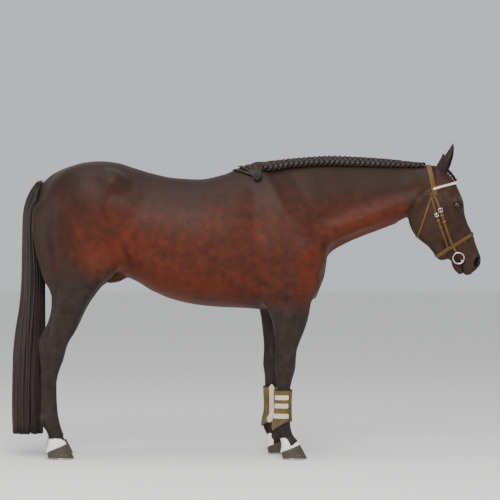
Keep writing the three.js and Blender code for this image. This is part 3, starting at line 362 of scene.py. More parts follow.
def over_hoof(x: Array, z: Array, fore: Array) -> Array:
    """Returns the height over the hoof's top, at x as on the right leg."""
    return z - (HOOF_TOP + HOOF_SLOPE * (x - np.where(fore, FORE_HOOF_X, HIND_HOOF_X)))


def from_head(along: Array, front: Array, side: Array) -> Array:
    """Returns the world place of the head's own coordinates."""
    along, front, side = np.broadcast_arrays(*(np.asarray(v, float) for v in (along, front, side)))
    return np.stack([HEAD_X + along * SIN + front * COS, side, HEAD_Z - along * COS + front * SIN], -1)


@dataclass(frozen=True)
class Ear:
    """One ear: a long cup, drawn out to a point.

    Rows are part of the height, half width, half depth, bow forward.
    """

    tip: tuple[float, float, float]
    sign: float
    foot: tuple[float, float, float] = (1096.0, 44.0, 1597.0)
    faces: tuple[float, float, float] = (0.94, 0.34, 0.0)
    wall: float = 3.2
    rows: tuple[tuple[float, float, float, float], ...] = (
        (-0.2, 20, 27, -2), (0, 25, 33, -2), (0.16, 31, 37, 0), (0.36, 32, 36, 7), (0.56, 27, 31, 11),
        (0.78, 18, 20, 9), (0.9, 12, 12.5, 5), (1, 5, 5, 0),
    )

    def axes(self) -> tuple[Array, Array, Array, Array, float]:
        """Returns foot, up, open and wide directions, and the length."""
        mirror = np.array([1.0, self.sign, 1.0])
        foot, tip = np.array(self.foot) * mirror, np.array(self.tip) * mirror
        length = float(np.linalg.norm(tip - foot))
        up = (tip - foot) / length
        faces = np.array(self.faces) * mirror
        facing = unit(faces - up * faces.dot(up))
        return foot, up, facing, np.cross(up, facing), length

    def local(self, p: Array) -> tuple[Array, Array, Array]:
        """Returns part of the height, place across, and place out of the cup of world places (..., 3)."""
        foot, up, facing, wide, length = self.axes()
        q = p - foot
        t = q @ up / length
        _, _, bow = through(self.rows)(t)
        return t, q @ wide, q @ facing - bow

    def distance(self, x: Array, y: Array, z: Array) -> Array:
        """Returns how far places are outside the closed ear."""
        foot, up, facing, wide, length = self.axes()
        dx, dy, dz = x - foot[0], y - foot[1], z - foot[2]
        t = (dx * up[0] + dy * up[1] + dz * up[2]) / length
        half, deep, bow = through(self.rows)(t)
        w = dx * wide[0] + dy * wide[1] + dz * wide[2]
        o = dx * facing[0] + dy * facing[1] + dz * facing[2] - bow
        size = np.sqrt((w / half) ** 2 + (o / deep) ** 2)
        around = np.hypot(w, o) * (1.0 - 1.0 / np.maximum(size, 1e-3))
        return capped(around, np.maximum(t - 1.0, -0.2 - t) * length)


EARS = (Ear((1119, 58, 1714), 1.0), Ear((1162, 56, 1766), -1.0))


def leg_distance(x: Array, y: Array, z: Array) -> Array:
    """Returns how far places are outside the nearest leg."""
    side, left = np.abs(y), y > 0
    fore = FORE_COLUMN(z, x + left * FORE_LAG(z)[0], side - FORE_MIDDLE(z)[0])
    hind = HIND_COLUMN(z, x + left * HIND_LAG(z)[0], side - HIND_MIDDLE(z)[0])
    return np.minimum(fore, hind)


def body_distance(x: Array, y: Array, z: Array) -> Array:
    """Returns how far places are outside the whole body, the ears left off."""
    side = np.abs(y)
    along, front = in_head(x, z)
    out = blend(TRUNK(x, z, side), NECK(x, z, side), 70)
    out = blend(out, leg_distance(x, y, z), 50)
    return blend(out, HEAD(along, front, side), 34)


def skin_distance(x: Array, y: Array, z: Array) -> Array:
    """Returns how far places are outside the body with its ears."""
    out = body_distance(x, y, z)
    for ear in EARS:
        out = blend(out, ear.distance(x, y, z), 16)
    return out


def slope_of(form: Form, p: Array, step: float = 0.6) -> Array:
    """Returns the gradient of a distance at places (n, 3)."""
    out = np.empty_like(p)
    for axis in range(3):
        a, b = p.copy(), p.copy()
        a[:, axis] += step
        b[:, axis] -= step
        out[:, axis] = (form(*a.T) - form(*b.T)) / (2.0 * step)
    return out


def onto(form: Form, p: Array, lift: float = 0.0, turns: int = 4, reach: float = 8.0) -> Array:
    """Returns places moved to where a distance is `lift`."""
    for _ in range(turns):
        g = slope_of(form, p)
        square = np.maximum((g * g).sum(1), 0.2)
        move = -((form(*p.T) - lift) / square)[:, None] * g
        size = np.linalg.norm(move, axis=1, keepdims=True)
        p = p + move * np.minimum(1.0, reach / np.maximum(size, 1e-9))
    return p


# ---------------------------------------------------------------- faces from forms


def grid_lines(*runs: tuple[float, float, float]) -> Array:
    """Returns grid lines along one axis, from runs of (from, to, step)."""
    out = [np.array([runs[0][0]])]
    for low, high, step in runs:
        count = math.ceil((high - low) / step)
        out.append(np.linspace(low, high, count + 1)[1:])
    return np.concatenate(out)


def sampled(form: Form, lines: Sequence[Array], block: int = 20) -> Array:
    """Returns a distance on every grid corner, worked out only in the blocks that the surface may cross."""
    size = [len(line) for line in lines]
    value = np.empty(size)
    for i in range(0, size[0], block):
        for j in range(0, size[1], block):
            for k in range(0, size[2], block):
                parts = [line[a:a + block + 1] for line, a in zip(lines, (i, j, k))]
                middle = [np.array([0.5 * (part[0] + part[-1])]) for part in parts]
                half = math.hypot(*(0.5 * (part[-1] - part[0]) for part in parts))
                here = tuple(slice(a, a + block + 1) for a in (i, j, k))
                at_middle = float(form(*middle)[0])
                if abs(at_middle) > 1.5 * half + 60.0:
                    value[here] = at_middle
                    continue
                x, y, z = np.ix_(*parts)
                value[here] = form(x, y, z)
    return value


def surface_net(value: Array, lines: Sequence[Array]) -> tuple[Array, Array]:
    """The surface where a sampled distance is nought, as a closed net.

    Args:
        value: distances on the grid's corners.
        lines: the grid's lines along each axis.
    Returns:
        Points (n, 3) and triangles (m, 3).
    """
    inside = value < 0
    count = np.zeros([n - 1 for n in value.shape], np.uint8)
    for a in (0, 1):
        for b in (0, 1):
            for c in (0, 1):
                ends = [slice(k, n - 1 + k) for k, n in zip((a, b, c), value.shape)]
                count += inside[tuple(ends)]
    mixed = (count > 0) & (count < 8)
    cells = np.argwhere(mixed)
    index = np.full(mixed.shape, -1, np.int64)
    index[mixed] = np.arange(len(cells))
    total, crossings = np.zeros((len(cells), 3)), np.zeros((len(cells), 1))
    for axis in range(3):
        for a in (0, 1):
            for b in (0, 1):
                start = cells.copy()
                start[:, (axis + 1) % 3] += a
                start[:, (axis + 2) % 3] += b
                end = start.copy()
                end[:, axis] += 1
                v, w = value[tuple(start.T)], value[tuple(end.T)]
                cross = (v < 0) != (w < 0)
                t = np.where(cross, v / np.where(cross, v - w, 1.0), 0.0)
                p = np.stack([lines[m][start[:, m]] for m in range(3)], 1)
                p[:, axis] += t * (lines[axis][end[:, axis]] - lines[axis][start[:, axis]])
                total += p * cross[:, None]
                crossings += cross[:, None]
    points = total / crossings
    quads = []
    for axis in range(3):
        m, n = (axis + 1) % 3, (axis + 2) % 3
        near, far = [slice(None)] * 3, [slice(None)] * 3
        near[axis], far[axis] = slice(None, -1), slice(1, None)
        edges = np.argwhere(inside[tuple(near)] != inside[tuple(far)])

        def cell(a: int, b: int) -> Array:
            """Returns the points of the cells at one corner round each edge."""
            place = edges.copy()
            place[:, m] -= a
            place[:, n] -= b
            return index[tuple(place.T)]

        quad = np.stack([cell(1, 1), cell(0, 1), cell(0, 0), cell(1, 0)], 1)
        end = edges.copy()
        end[:, axis] += 1
        flip = inside[tuple(end.T)]
        quad[flip] = quad[flip][:, ::-1]
        quads.append(quad)
    quad = np.concatenate(quads)
    first = np.linalg.norm(points[quad[:, 0]] - points[quad[:, 2]], axis=1)
    second = np.linalg.norm(points[quad[:, 1]] - points[quad[:, 3]], axis=1)
    short = (first <= second)[:, None]
    upper = np.where(short, quad[:, [0, 1, 2]], quad[:, [0, 1, 3]])
    lower = np.where(short, quad[:, [0, 2, 3]], quad[:, [1, 2, 3]])
    return points, np.concatenate([upper, lower])


def edges_of(triangles: Array, count: int) -> tuple[Array, Array]:
    """Returns the edges (e, 2) of a net, and which edge each triangle's side is (m, 3)."""
    sides = np.sort(np.stack([triangles, np.roll(triangles, -1, 1)], -1), -1).reshape(-1, 2)
    keys, which = np.unique(sides[:, 0] * count + sides[:, 1], return_inverse=True)
    return np.stack([keys // count, keys % count], 1), which.reshape(-1, 3)


def refined(points: Array, triangles: Array, wanted: Callable[[Array], Array]) -> tuple[Array, Array]:
    """Splits each edge that is longer than `wanted` says at its middle.

    Args:
        points: places (n, 3).
        triangles: corners (m, 3).
        wanted: gives the longest edge allowed at places (k, 3).
    Returns:
        The new points and triangles.
    """
    edges, which = edges_of(triangles, len(points))
    middle = points[edges].mean(1)
    length = np.linalg.norm(points[edges[:, 0]] - points[edges[:, 1]], axis=1)
    split = length > wanted(middle)
    new = np.where(split, len(points) + np.cumsum(split) - 1, -1)[which]
    points = np.concatenate([points, middle[split]])
    out = [triangles[(new < 0).all(1)]]
    for turn in range(3):
        tri, mid = np.roll(triangles, -turn, 1), np.roll(new, -turn, 1)
        a, b, c = tri.T
        p, q, r = mid.T
        one = (p >= 0) & (q < 0) & (r < 0)
        out += [np.stack([a, p, c], 1)[one], np.stack([p, b, c], 1)[one]]
        two = (p >= 0) & (q >= 0) & (r < 0)
        out += [np.stack([p, b, q], 1)[two], np.stack([a, p, q], 1)[two], np.stack([a, q, c], 1)[two]]
    a, b, c = triangles.T
    p, q, r = new.T
    every = (new >= 0).all(1)
    for face in ([a, p, r], [p, b, q], [r, q, c], [p, q, r]):
        out.append(np.stack(face, 1)[every])
    return points, np.concatenate(out)


def among_neighbours(points: Array, edges: Array) -> Array:
    """Returns the middle of each point's neighbours."""
    total, count = np.zeros_like(points), np.zeros(len(points))
    for a, b in ((0, 1), (1, 0)):
        for axis in range(3):
            total[:, axis] += np.bincount(edges[:, a], points[edges[:, b], axis], len(points))
        count += np.bincount(edges[:, a], minlength=len(points))
    return total / np.maximum(count, 1)[:, None]


def relaxed(points: Array, triangles: Array, normal: Array, amount: float) -> Array:
    """Returns points slid along the surface towards the middle of their neighbours."""
    edges, _ = edges_of(triangles, len(points))
    move = among_neighbours(points, edges) - points
    move -= normal * (move * normal).sum(1, keepdims=True)
    return points + move * amount


def softened(points: Array, triangles: Array, weight: Array, turns: int) -> Array:
    """Returns points drawn again and again to the middle of their neighbours, by their weights."""
    edges, _ = edges_of(triangles, len(points))
    edges = edges[(weight[edges] > 0).any(1)]
    for _ in range(turns):
        points = points + (among_neighbours(points, edges) - points) * (0.6 * weight)[:, None]
    return points


def normals_of(points: Array, triangles: Array) -> Array:
    """Returns the corners' normals."""
    p = points[triangles]
    face = np.cross(p[:, 1] - p[:, 0], p[:, 2] - p[:, 0])
    out = np.zeros_like(points)
    for axis in range(3):
        for corner in range(3):
            out[:, axis] += np.bincount(triangles[:, corner], face[:, axis], len(points))
    return unit(out)


# ---------------------------------------------------------------- relief of the flesh


@dataclass(frozen=True)
class Crease:
    """A soft ridge (depth over 0) or groove (under 0) along a line in the side view, on both sides."""

    line: tuple[tuple[float, float], ...]
    width: float
    depth: float

    def amount(self, a: Array, b: Array) -> Array:
        """Returns the rise at side-view places."""
        best = np.full(a.shape, 1e9)
        ends = self.line if len(self.line) > 1 else self.line * 2
        for (a0, b0), (a1, b1) in zip(ends[:-1], ends[1:]):
            da, db = a1 - a0, b1 - b0
            t = np.clip(((a - a0) * da + (b - b0) * db) / max(da * da + db * db, 1e-6), 0.0, 1.0)
            best = np.minimum(best, (a - a0 - t * da) ** 2 + (b - b0 - t * db) ** 2)
        return self.depth * np.exp(-best / (self.width * self.width))


BODY_CREASES = (
    Crease(((150, 1590), (235, 1450), (335, 1300), (405, 1160)), 30, -3.5),  # in front of the shoulder
    Crease(((125, 1560), (230, 1340), (312, 1190)), 20, 2),  # spine of the shoulder blade
    Crease(((60, 1500), (25, 1380), (38, 1230), (66, 1090), (86, 960)), 38, -4),  # behind the shoulder
    Crease(((195, 1310), (235, 1190), (240, 1080), (190, 1000)), 20, -3),  # between the upper arm's muscles
    Crease(((380, 1150),), 34, 6),  # point of the shoulder
    Crease(((102, 930),), 26, 7),  # point of the elbow
    Crease(((150, 900), (250, 880), (330, 905)), 18, -5),  # over the forearm
    Crease(((430, 1190), (600, 1296), (780, 1372), (930, 1425)), 18, -4),  # jugular groove
    Crease(((400, 1350), (620, 1440), (870, 1500)), 26, -2),
    Crease(((330, 1560), (600, 1590), (930, 1575)), 24, -1.2),
    Crease(((250, 1480), (420, 1470), (560, 1500)), 30, 3),
    Crease(((-560, 1420), (-628, 1330)), 56, -9),  # hollow of the flank
    Crease(((-690, 1200), (-655, 1090), (-622, 1000)), 26, -7),  # flank fold
    Crease(((-745, 1470), (-775, 1330), (-800, 1190)), 20, -5),
    Crease(((-742, 1540), (-800, 1560)), 34, 2),  # hip bone
    Crease(((-900, 1530), (-1000, 1440), (-1050, 1330)), 34, 4),
    Crease(((-1096, 1400), (-1080, 1300), (-1066, 1180), (-1052, 1060), (-1040, 950)), 22, -4),  # buttock
    Crease(((-985, 1460), (-945, 1300), (-915, 1150), (-930, 1040)), 20, -4),
    Crease(((-805, 1010),), 24, 4),  # kneecap
    Crease(((-870, 960), (-960, 900), (-1010, 820), (-1040, 740)), 17, -4),
    Crease(((-1052, 930), (-1072, 830), (-1092, 745), (-1104, 690)), 11, -8),  # before the hock's tendon
    Crease(((-1122, 690), (-1118, 640), (-1112, 600)), 8, -5),
    Crease(((-1035, 645),), 20, 5),  # hock bones
    Crease(((-1066, 585), (-1060, 560)), 18, 3),
    Crease(((-1119, 520), (-1122, 420), (-1122, 300), (-1118, 255)), 6, -4.5),  # before the tendons
    Crease(((-1134, 480), (-1136, 400), (-1136, 300)), 4, 1.5),
    Crease(((-1126, 222),), 15, 4),  # hind fetlock
    Crease(((-1062, 214),), 17, 3),
    Crease(((282, 800), (270, 720), (256, 640), (250, 590)), 10, -5),  # forearm muscles
    Crease(((205, 800), (204, 700), (198, 620)), 12, -4),
    Crease(((236, 760), (232, 660)), 14, 3),
    Crease(((190, 560), (192, 505), (190, 455)), 7, -5),  # behind the knee
    Crease(((214, 524), (272, 520)), 4.5, -2),
    Crease(((212, 494), (266, 490)), 4.5, -1.6),
    Crease(((240, 545),), 15, 3),
    Crease(((196, 440), (192, 350), (190, 260)), 6, -5),
    Crease(((180, 420), (178, 330), (176, 262)), 5, 1.6),
    Crease(((176, 206),), 14, 4),  # fore fetlock
    Crease(((222, 204),), 16, 3),
    Crease(((214, 150), (244, 118)), 12, -2.5),  # pasterns
    Crease(((-1086, 150), (-1052, 118)), 12, -2.5),
)
RIBS = tuple(
    Crease(((-90 - 62 * i, 1430), (-118 - 64 * i, 1200), (-150 - 62 * i, 1020)), 17, -0.7) for i in range(8)
)
HEAD_CREASES = (
    Crease(((168, 26), (240, 19), (320, 18), (352, 14)), 6, 3.5),  # facial crest
    Crease(((215, -8), (300, -8), (352, -6)), 11, -4),
    Crease(((298, 0), (316, -60), (322, -128)), 11, -5),  # front edge of the cheek
    Crease(((372, -86), (344, -40), (350, 6), (392, 34)), 3.6, 2.4),  # facial vein
    Crease(((350, 6), (372, -4), (400, -6)), 3.0, 1.6),
    Crease(((156, 62),), 20, -8),  # hollow over the eye
    Crease(((172, 58), (186, 74), (212, 84)), 8, 3.5),  # brow
    Crease(((150, 34), (112, 14), (80, -8)), 9, 3),
    Crease(((238, 70), (268, 62)), 6, -2.5),  # from the corner of the eye
    Crease(((290, 72), (400, 76), (490, 80)), 8, 1.6),  # edge of the nose bones
    Crease(((300, 48), (400, 52), (488, 60)), 12, -4.5),
    Crease(((440, 20), (500, 14), (530, 4)), 15, 3),
    Crease(((524, -25), (512, -18), (500, -20)), 5, -2.5),  # corner of the mouth
    Crease(((470, -52), (520, -48)), 9, -2.5),
    Crease(((96, -70), (160, -40), (250, -34)), 30, 3),
    Crease(((70, -60), (96, -130), (150, -196)), 12, -6),  # behind the jowl
)


def body_relief(p: Array, normal: Array) -> Array:
    """Returns how far the flesh rises at places of the surface, in millimetres."""
    x, y, z = p.T
    square_x = as_right(x, z, (y > 0) & (z < 1050))
    lateral = ramp(0.15, 0.7, np.abs(normal[:, 1]))
    along, front = in_head(x, z)
    rise = np.zeros(len(p))
    off_head = (1.0 - ramp(830, 930, x)) * lateral
    for crease in BODY_CREASES + RIBS:
        rise += crease.amount(square_x, z) * off_head
    here = (along > -30) & (x > 850)
    for crease in HEAD_CREASES:
        rise[here] += crease.amount(along[here], front[here]) * lateral[here]
    chest = ramp(330, 400, x) * ramp(980, 1040, z) * (1.0 - ramp(1180, 1240, z))
    rise -= 12.0 * chest * np.exp(-(y / 15.0) ** 2)  # between the breast muscles
    downward = ramp(0.2, 0.8, -normal[:, 2] * COS - normal[:, 0] * 0.3)
    under = ramp(60, 100, along) * (1.0 - ramp(400, 450, along)) * downward
    rise -= 9.0 * under * np.exp(-(y / 20.0) ** 2) * here  # between the jaws
    loins = ramp(-1000, -850, x) * (1.0 - ramp(-300, -150, x)) * ramp(0.6, 0.9, normal[:, 2])
    rise -= 3.5 * loins * np.exp(-(y / 16.0) ** 2)  # along the spine
    rump = ramp(0.3, 0.9, -normal[:, 0]) * ramp(950, 1050, z) * (1.0 - ramp(1380, 1450, z)) * (x < -1000)
    rise -= 20.0 * rump * np.exp(-(y / 17.0) ** 2)  # between the buttocks
    return rise


@dataclass(frozen=True)
class EyeShape:
    """The eye in the head's frame: the ball and the opening between its lids."""

    along: float = 213.0
    front: float = 50.0
    side: float = 85.0
    radius: float = 21.5
    lid: float = 3.4
    half_long: float = 22.0
    upper: float = 15.5
    lower: float = 12.0
    turn: float = math.radians(-40.0)

    def local(self, p: Array) -> tuple[Array, Array, Array]:
        """Returns places as (along the opening towards the nose, up the brow, out of the head)."""
        along, front = in_head(p[:, 0], p[:, 2])
        a, f = along - self.along, front - self.front
        c, s = math.cos(self.turn), math.sin(self.turn)
        return a * c - f * s, a * s + f * c, np.abs(p[:, 1]) - self.side

    def world(self, u: Array, v: Array, w: Array, sign: float) -> Array:
        """Returns the world places of (along, up, out), on the left for sign 1 and the right for -1."""
        c, s = math.cos(self.turn), math.sin(self.turn)
        along, front = self.along + u * c + v * s, self.front - u * s + v * c
        return from_head(along, front, sign * (self.side + w))

    def upper_lid(self, t: Array) -> Array:
        """Returns how high the upper lid stands at parts of the half length."""
        skew = t - 0.12 * (1.0 - t * t)
        return self.upper * (1.0 - np.abs(skew) ** 2.3)

    def gap(self, u: Array, v: Array) -> Array:
        """Returns how far outside the opening places are."""
        t = np.clip(u / self.half_long, -1.0, 1.0)
        top = self.upper_lid(t)
        low = self.lower * (1.0 - np.abs(t) ** 2.0) + 2.2 * ramp(0.3, 1.0, t) * (1.0 - t * t)
        inside = np.maximum(v - top, -v - low) * 0.86
        past = np.abs(u) - self.half_long
        return np.where(past > 0, np.hypot(past, np.abs(v)), inside)


@dataclass(frozen=True)
class NostrilShape:
    """The nostril's opening in the head's frame."""

    along: float = 553.0
    front: float = 50.0
    turn: float = math.radians(-36.0)
    half_long: float = 31.0
    half_wide: float = 13.0

    def reach(self, p: Array) -> Array:
        """Returns how far out places are, as a part of the way from the middle to the rim."""
        along, front = in_head(p[:, 0], p[:, 2])
        a, f = along - self.along, front - self.front
        c, s = math.cos(self.turn), math.sin(self.turn)
        u, v = a * c + f * s, f * c - a * s
        v = v - 0.007 * u * u + 2.0  # the rim bends over the front
        return np.sqrt((u / self.half_long) ** 2 + (v / self.half_wide) ** 2)


EYE = EyeShape()
NOSTRIL = NostrilShape()
MOUTH_LINE = ((606.0, -35.0), (584.0, -38.0), (552.0, -33.0), (521.0, -25.0))


class Skin:
    """The horse's one skin: trunk, neck, head, ears and legs, with lids, nostrils and mouth."""

    depth = 3.0  # how far under the coat's outside the skin lies

    def __init__(self) -> None:
        self.points, self.triangles = self._net()
        self._details()

    def wanted(self, p: Array) -> Array:
        """Returns the longest edge allowed at places."""
        x, y, z = p.T
        along, front = in_head(x, z)
        out = np.full(len(p), 26.0)
        out[x > 500] = 20.0
        out[z < 860] = 14.5
        head = (along > 20) & (x > 960)
        out[head] = 10.0
        out[head & (along > 480)] = 5.5
        for ear in EARS:
            t, w, o = ear.local(p)
            out[(t > -0.12) & (np.hypot(w, o) < 44)] = 4.4
        u, v, _ = EYE.local(p)
        far = np.hypot(u, v)
        out[head & (far < 46)] = 4.6
        out[head & (far < 32)] = 2.1
        reach = NOSTRIL.reach(p)
        out[head & (reach < 1.9) & (np.abs(y) > 14)] = 2.4
        line = Crease(MOUTH_LINE, 9.0, 1.0).amount(along, front)
        out[head & (line > 0.5)] = 2.6
        return out

    def _net(self) -> tuple[Array, Array]:
        """Returns the smooth skin's points and triangles, finer where the detail is."""
        half = grid_lines((3.5, 73.5, 7.0), (73.5, 190.0, 9.0), (190.0, 344.0, 14.0))
        lines = (
            grid_lines((-1240, -955, 10), (-955, 90, 17), (90, 400, 10), (400, 880, 15), (880, 1340, 8)),
            np.concatenate([-half[::-1], half]),
            grid_lines((20, 700, 10), (700, 1000, 13), (1000, 1790, 11)),
        )
        value = sampled(skin_form, lines)
        points, triangles = surface_net(value + self.depth, lines)
        points = onto(skin_form, points, -self.depth, 2)
        for _ in range(3):
            points, triangles = refined(points, triangles, self.wanted)
            normal = normals_of(points, triangles)
            points = relaxed(points, triangles, normal, 0.5)
            points = onto(skin_form, points, -self.depth, 1)
        x, _, z = points.T
        dock = ramp(-990, -1070, x) * ramp(1300, 1380, z) * (1.0 - ramp(1560, 1600, z))
        haunch = np.exp(-((z - 1420) / 55) ** 2) * (x < -690)
        return softened(points, triangles, np.maximum(dock, haunch * (haunch > 0.05)), 14), triangles

    def _details(self) -> None:
        """Raises the flesh, and shapes the nostrils, the mouth, the lids and the ears."""
        normal = unit(slope_of(skin_form, self.points, 1.5))
        self.points = self.points + normal * body_relief(self.points, normal)[:, None]
        self._nostrils(normal)
        self._mouth(normal)
        self._lids()
        self._ears()
        self.normal = normals_of(self.points, self.triangles)

    def _nostrils(self, normal: Array) -> None:
        """Sinks the nostrils, inward and up the face, inside a raised rim."""
        p = self.points
        reach = NOSTRIL.reach(p)
        here = (np.abs(p[:, 1]) > 16) & (p[:, 0] > 1100) & (reach < 2.6)
        sign = np.sign(p[:, 1])
        way = np.stack([-0.28 * np.ones(len(p)), -0.9 * sign, 0.34 * np.ones(len(p))], 1)
        pit = (1.0 - ramp(0.55, 1.06, reach)) * here
        rim = np.exp(-((reach - 1.3) / 0.26) ** 2) * here
        self.points = p + way * (26.0 * pit)[:, None] + normal * (2.6 * rim)[:, None]

    def _mouth(self, normal: Array) -> None:
        """Cuts the line of the mouth between full lips."""
        p = self.points
        along, front = in_head(p[:, 0], p[:, 2])
        here = (along > 515) & (np.abs(p[:, 1]) < 80)
        groove = Crease(MOUTH_LINE, 2.7, 1.0).amount(along, front) * here
        lips = Crease(MOUTH_LINE, 8.0, 1.0).amount(along, front) * here
        self.points = p + normal * (2.2 * lips - 9.5 * groove)[:, None]

    def _lids(self) -> None:
        """Lays the lids over the eyeball, with their folds, and drops the skin behind it in the opening."""
        p = self.points
        u, v, w = EYE.local(p)
        head = (p[:, 0] > 1000) & (w > -30)
        far = np.hypot(u, v)
        gap = EYE.gap(u, v)
        sign = np.where(p[:, 1] > 0, 1.0, -1.0)
        dome = EYE.radius + EYE.lid
        cap = np.sqrt(np.maximum(dome * dome - far * far, 0.0))
        near = 1.0 - ramp(dome - 6.0, dome + 12.0, far)
        out = np.where(head, lerp(w, np.maximum(w, cap), near), w)
        fold = np.where(v > -2, 1.0, 0.6)
        out -= head * fold * 1.9 * np.exp(-((gap - 7.5) / 1.9) ** 2)
        out -= head * 1.2 * np.exp(-((gap - 12.5) / 2.2) ** 2) * (v > 0)
        out += head * 1.1 * np.exp(-((gap - 3.0) / 2.4) ** 2)
        inner = np.sqrt(np.maximum((EYE.radius - 4.0) ** 2 - far * far, 4.0))
        inside = head & (gap < 0)
        deep = ramp(0.0, 1.6, -gap)
        out = np.where(inside, lerp(out, inner, deep), out)
        corner = np.exp(-((u - EYE.half_long + 1.0) ** 2 + (v + 1.0) ** 2) / 9.0)
        out = out - head * 2.0 * corner
        moved = np.stack([p[:, 0], sign * (out + EYE.side), p[:, 2]], 1)
        self.points = moved * head[:, None] + p * ~head[:, None]

    def _ears(self) -> None:
        """Hollows the ears out from their open side, and leaves a thin wall."""
        for ear in EARS:
            facing = ear.axes()[2]
            t, w, o = ear.local(self.points)
            half, deep, _ = through(ear.rows)(t)
            here = (t > 0.06) & (t < 1.02) & (np.hypot(w, o) < 1.5 * np.maximum(half, 10))
            inner_half = np.maximum(half - ear.wall, 0.5)
            inner_deep = np.maximum(deep - ear.wall, 0.5)
            opening = ramp(0.10, 0.34, t) * (1.0 - ramp(0.86, 0.99, t))
            narrow = lerp(0.60, 0.88, ramp(0.15, 0.5, t))
            side = np.abs(w) / (inner_half * narrow)
            cup = (1.0 - ramp(0.80, 1.0, side)) * opening * (o > -0.2 * deep) * here
            wall = -inner_deep * np.sqrt(np.maximum(1.0 - (w / inner_half) ** 2, 0.0))
            depth = lerp(o, np.minimum(wall, o), cup)
            self.points = self.points + facing * (depth - o)[:, None]


SHEATH = egg([-750, 1012, 0], [74, 36, 34], 8)


def skin_form(x: Array, y: Array, z: Array) -> Array:
    """The skin's distance: body, ears and sheath, ending inside the hooves."""
    out = blend(skin_distance(x, y, z), SHEATH(x, z, y), 26)
    left = y > 0
    end = HOOF_TOP - 8.0  # the skin ends this high in the middle of the hoof
    fore = z - (end + HOOF_SLOPE * (x + left * FORE_HOOF_LAG - FORE_HOOF_X))
    hind = z - (end + HOOF_SLOPE * (x + left * HIND_HOOF_LAG - HIND_HOOF_X))
    return np.where(z < 160, carve(out, np.where(x > BETWEEN_LEGS, fore, hind), 4.0), out)


# ---------------------------------------------------------------- meshes and materials


def linear(colour: str) -> tuple[float, float, float, float]:
    """Returns an sRGB hex colour as linear light."""
    parts = [int(colour[i:i + 2], 16) / 255.0 for i in (1, 3, 5)]
    return tuple(c / 12.92 if c <= 0.04045 else ((c + 0.055) / 1.055) ** 2.4 for c in parts) + (1.0,)


def mesh_piece(name: str, points: Array, faces: Iterable, material: bpy.types.Material) -> bpy.types.Object:
    """Makes a smooth mesh from points in millimetres.

    Args:
        name: the piece's name.
        points: places (n, 3).
        faces: triangles (m, 3), or lists of corners.
        material: its finish.
    Returns:
        The new object.
    """
    mesh = bpy.data.meshes.new(name)
    if isinstance(faces, np.ndarray):
        size = faces.shape[1]
        mesh.vertices.add(len(points))
        mesh.vertices.foreach_set("co", (points * MM).astype(np.float32).ravel())
        mesh.loops.add(faces.size)
        mesh.loops.foreach_set("vertex_index", faces.astype(np.int32).ravel())
        mesh.polygons.add(len(faces))
        mesh.polygons.foreach_set("loop_start", np.arange(0, faces.size, size, dtype=np.int32))
        mesh.update(calc_edges=True)
        mesh.validate()
    else:
        mesh.from_pydata((points * MM).tolist(), [], [list(f) for f in faces])
        mesh.update()
    mesh.polygons.foreach_set("use_smooth", np.ones(len(mesh.polygons), bool))
    mesh.materials.append(material)
    piece = bpy.data.objects.new(name, mesh)
    bpy.context.scene.collection.objects.link(piece)
    return piece


def paint(piece: bpy.types.Object, name: str, values: Array) -> None:
    """Keeps one number for each corner of a piece's mesh as an attribute."""
    layer = piece.data.attributes.new(name, "FLOAT", "POINT")
    layer.data.foreach_set("value", np.asarray(values, np.float32))


def keep(piece: bpy.types.Object, slot: str, *nodes: str) -> None:
    """Files a finished piece with the horse's one body.

    Args:
        piece: the piece.
        slot: not used.
        nodes: the plain solids that it stands for.
    """
    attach(piece, "root")
    if nodes:
        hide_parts(*nodes)
    LOG.info("%s: %d faces", piece.name, len(piece.data.polygons))


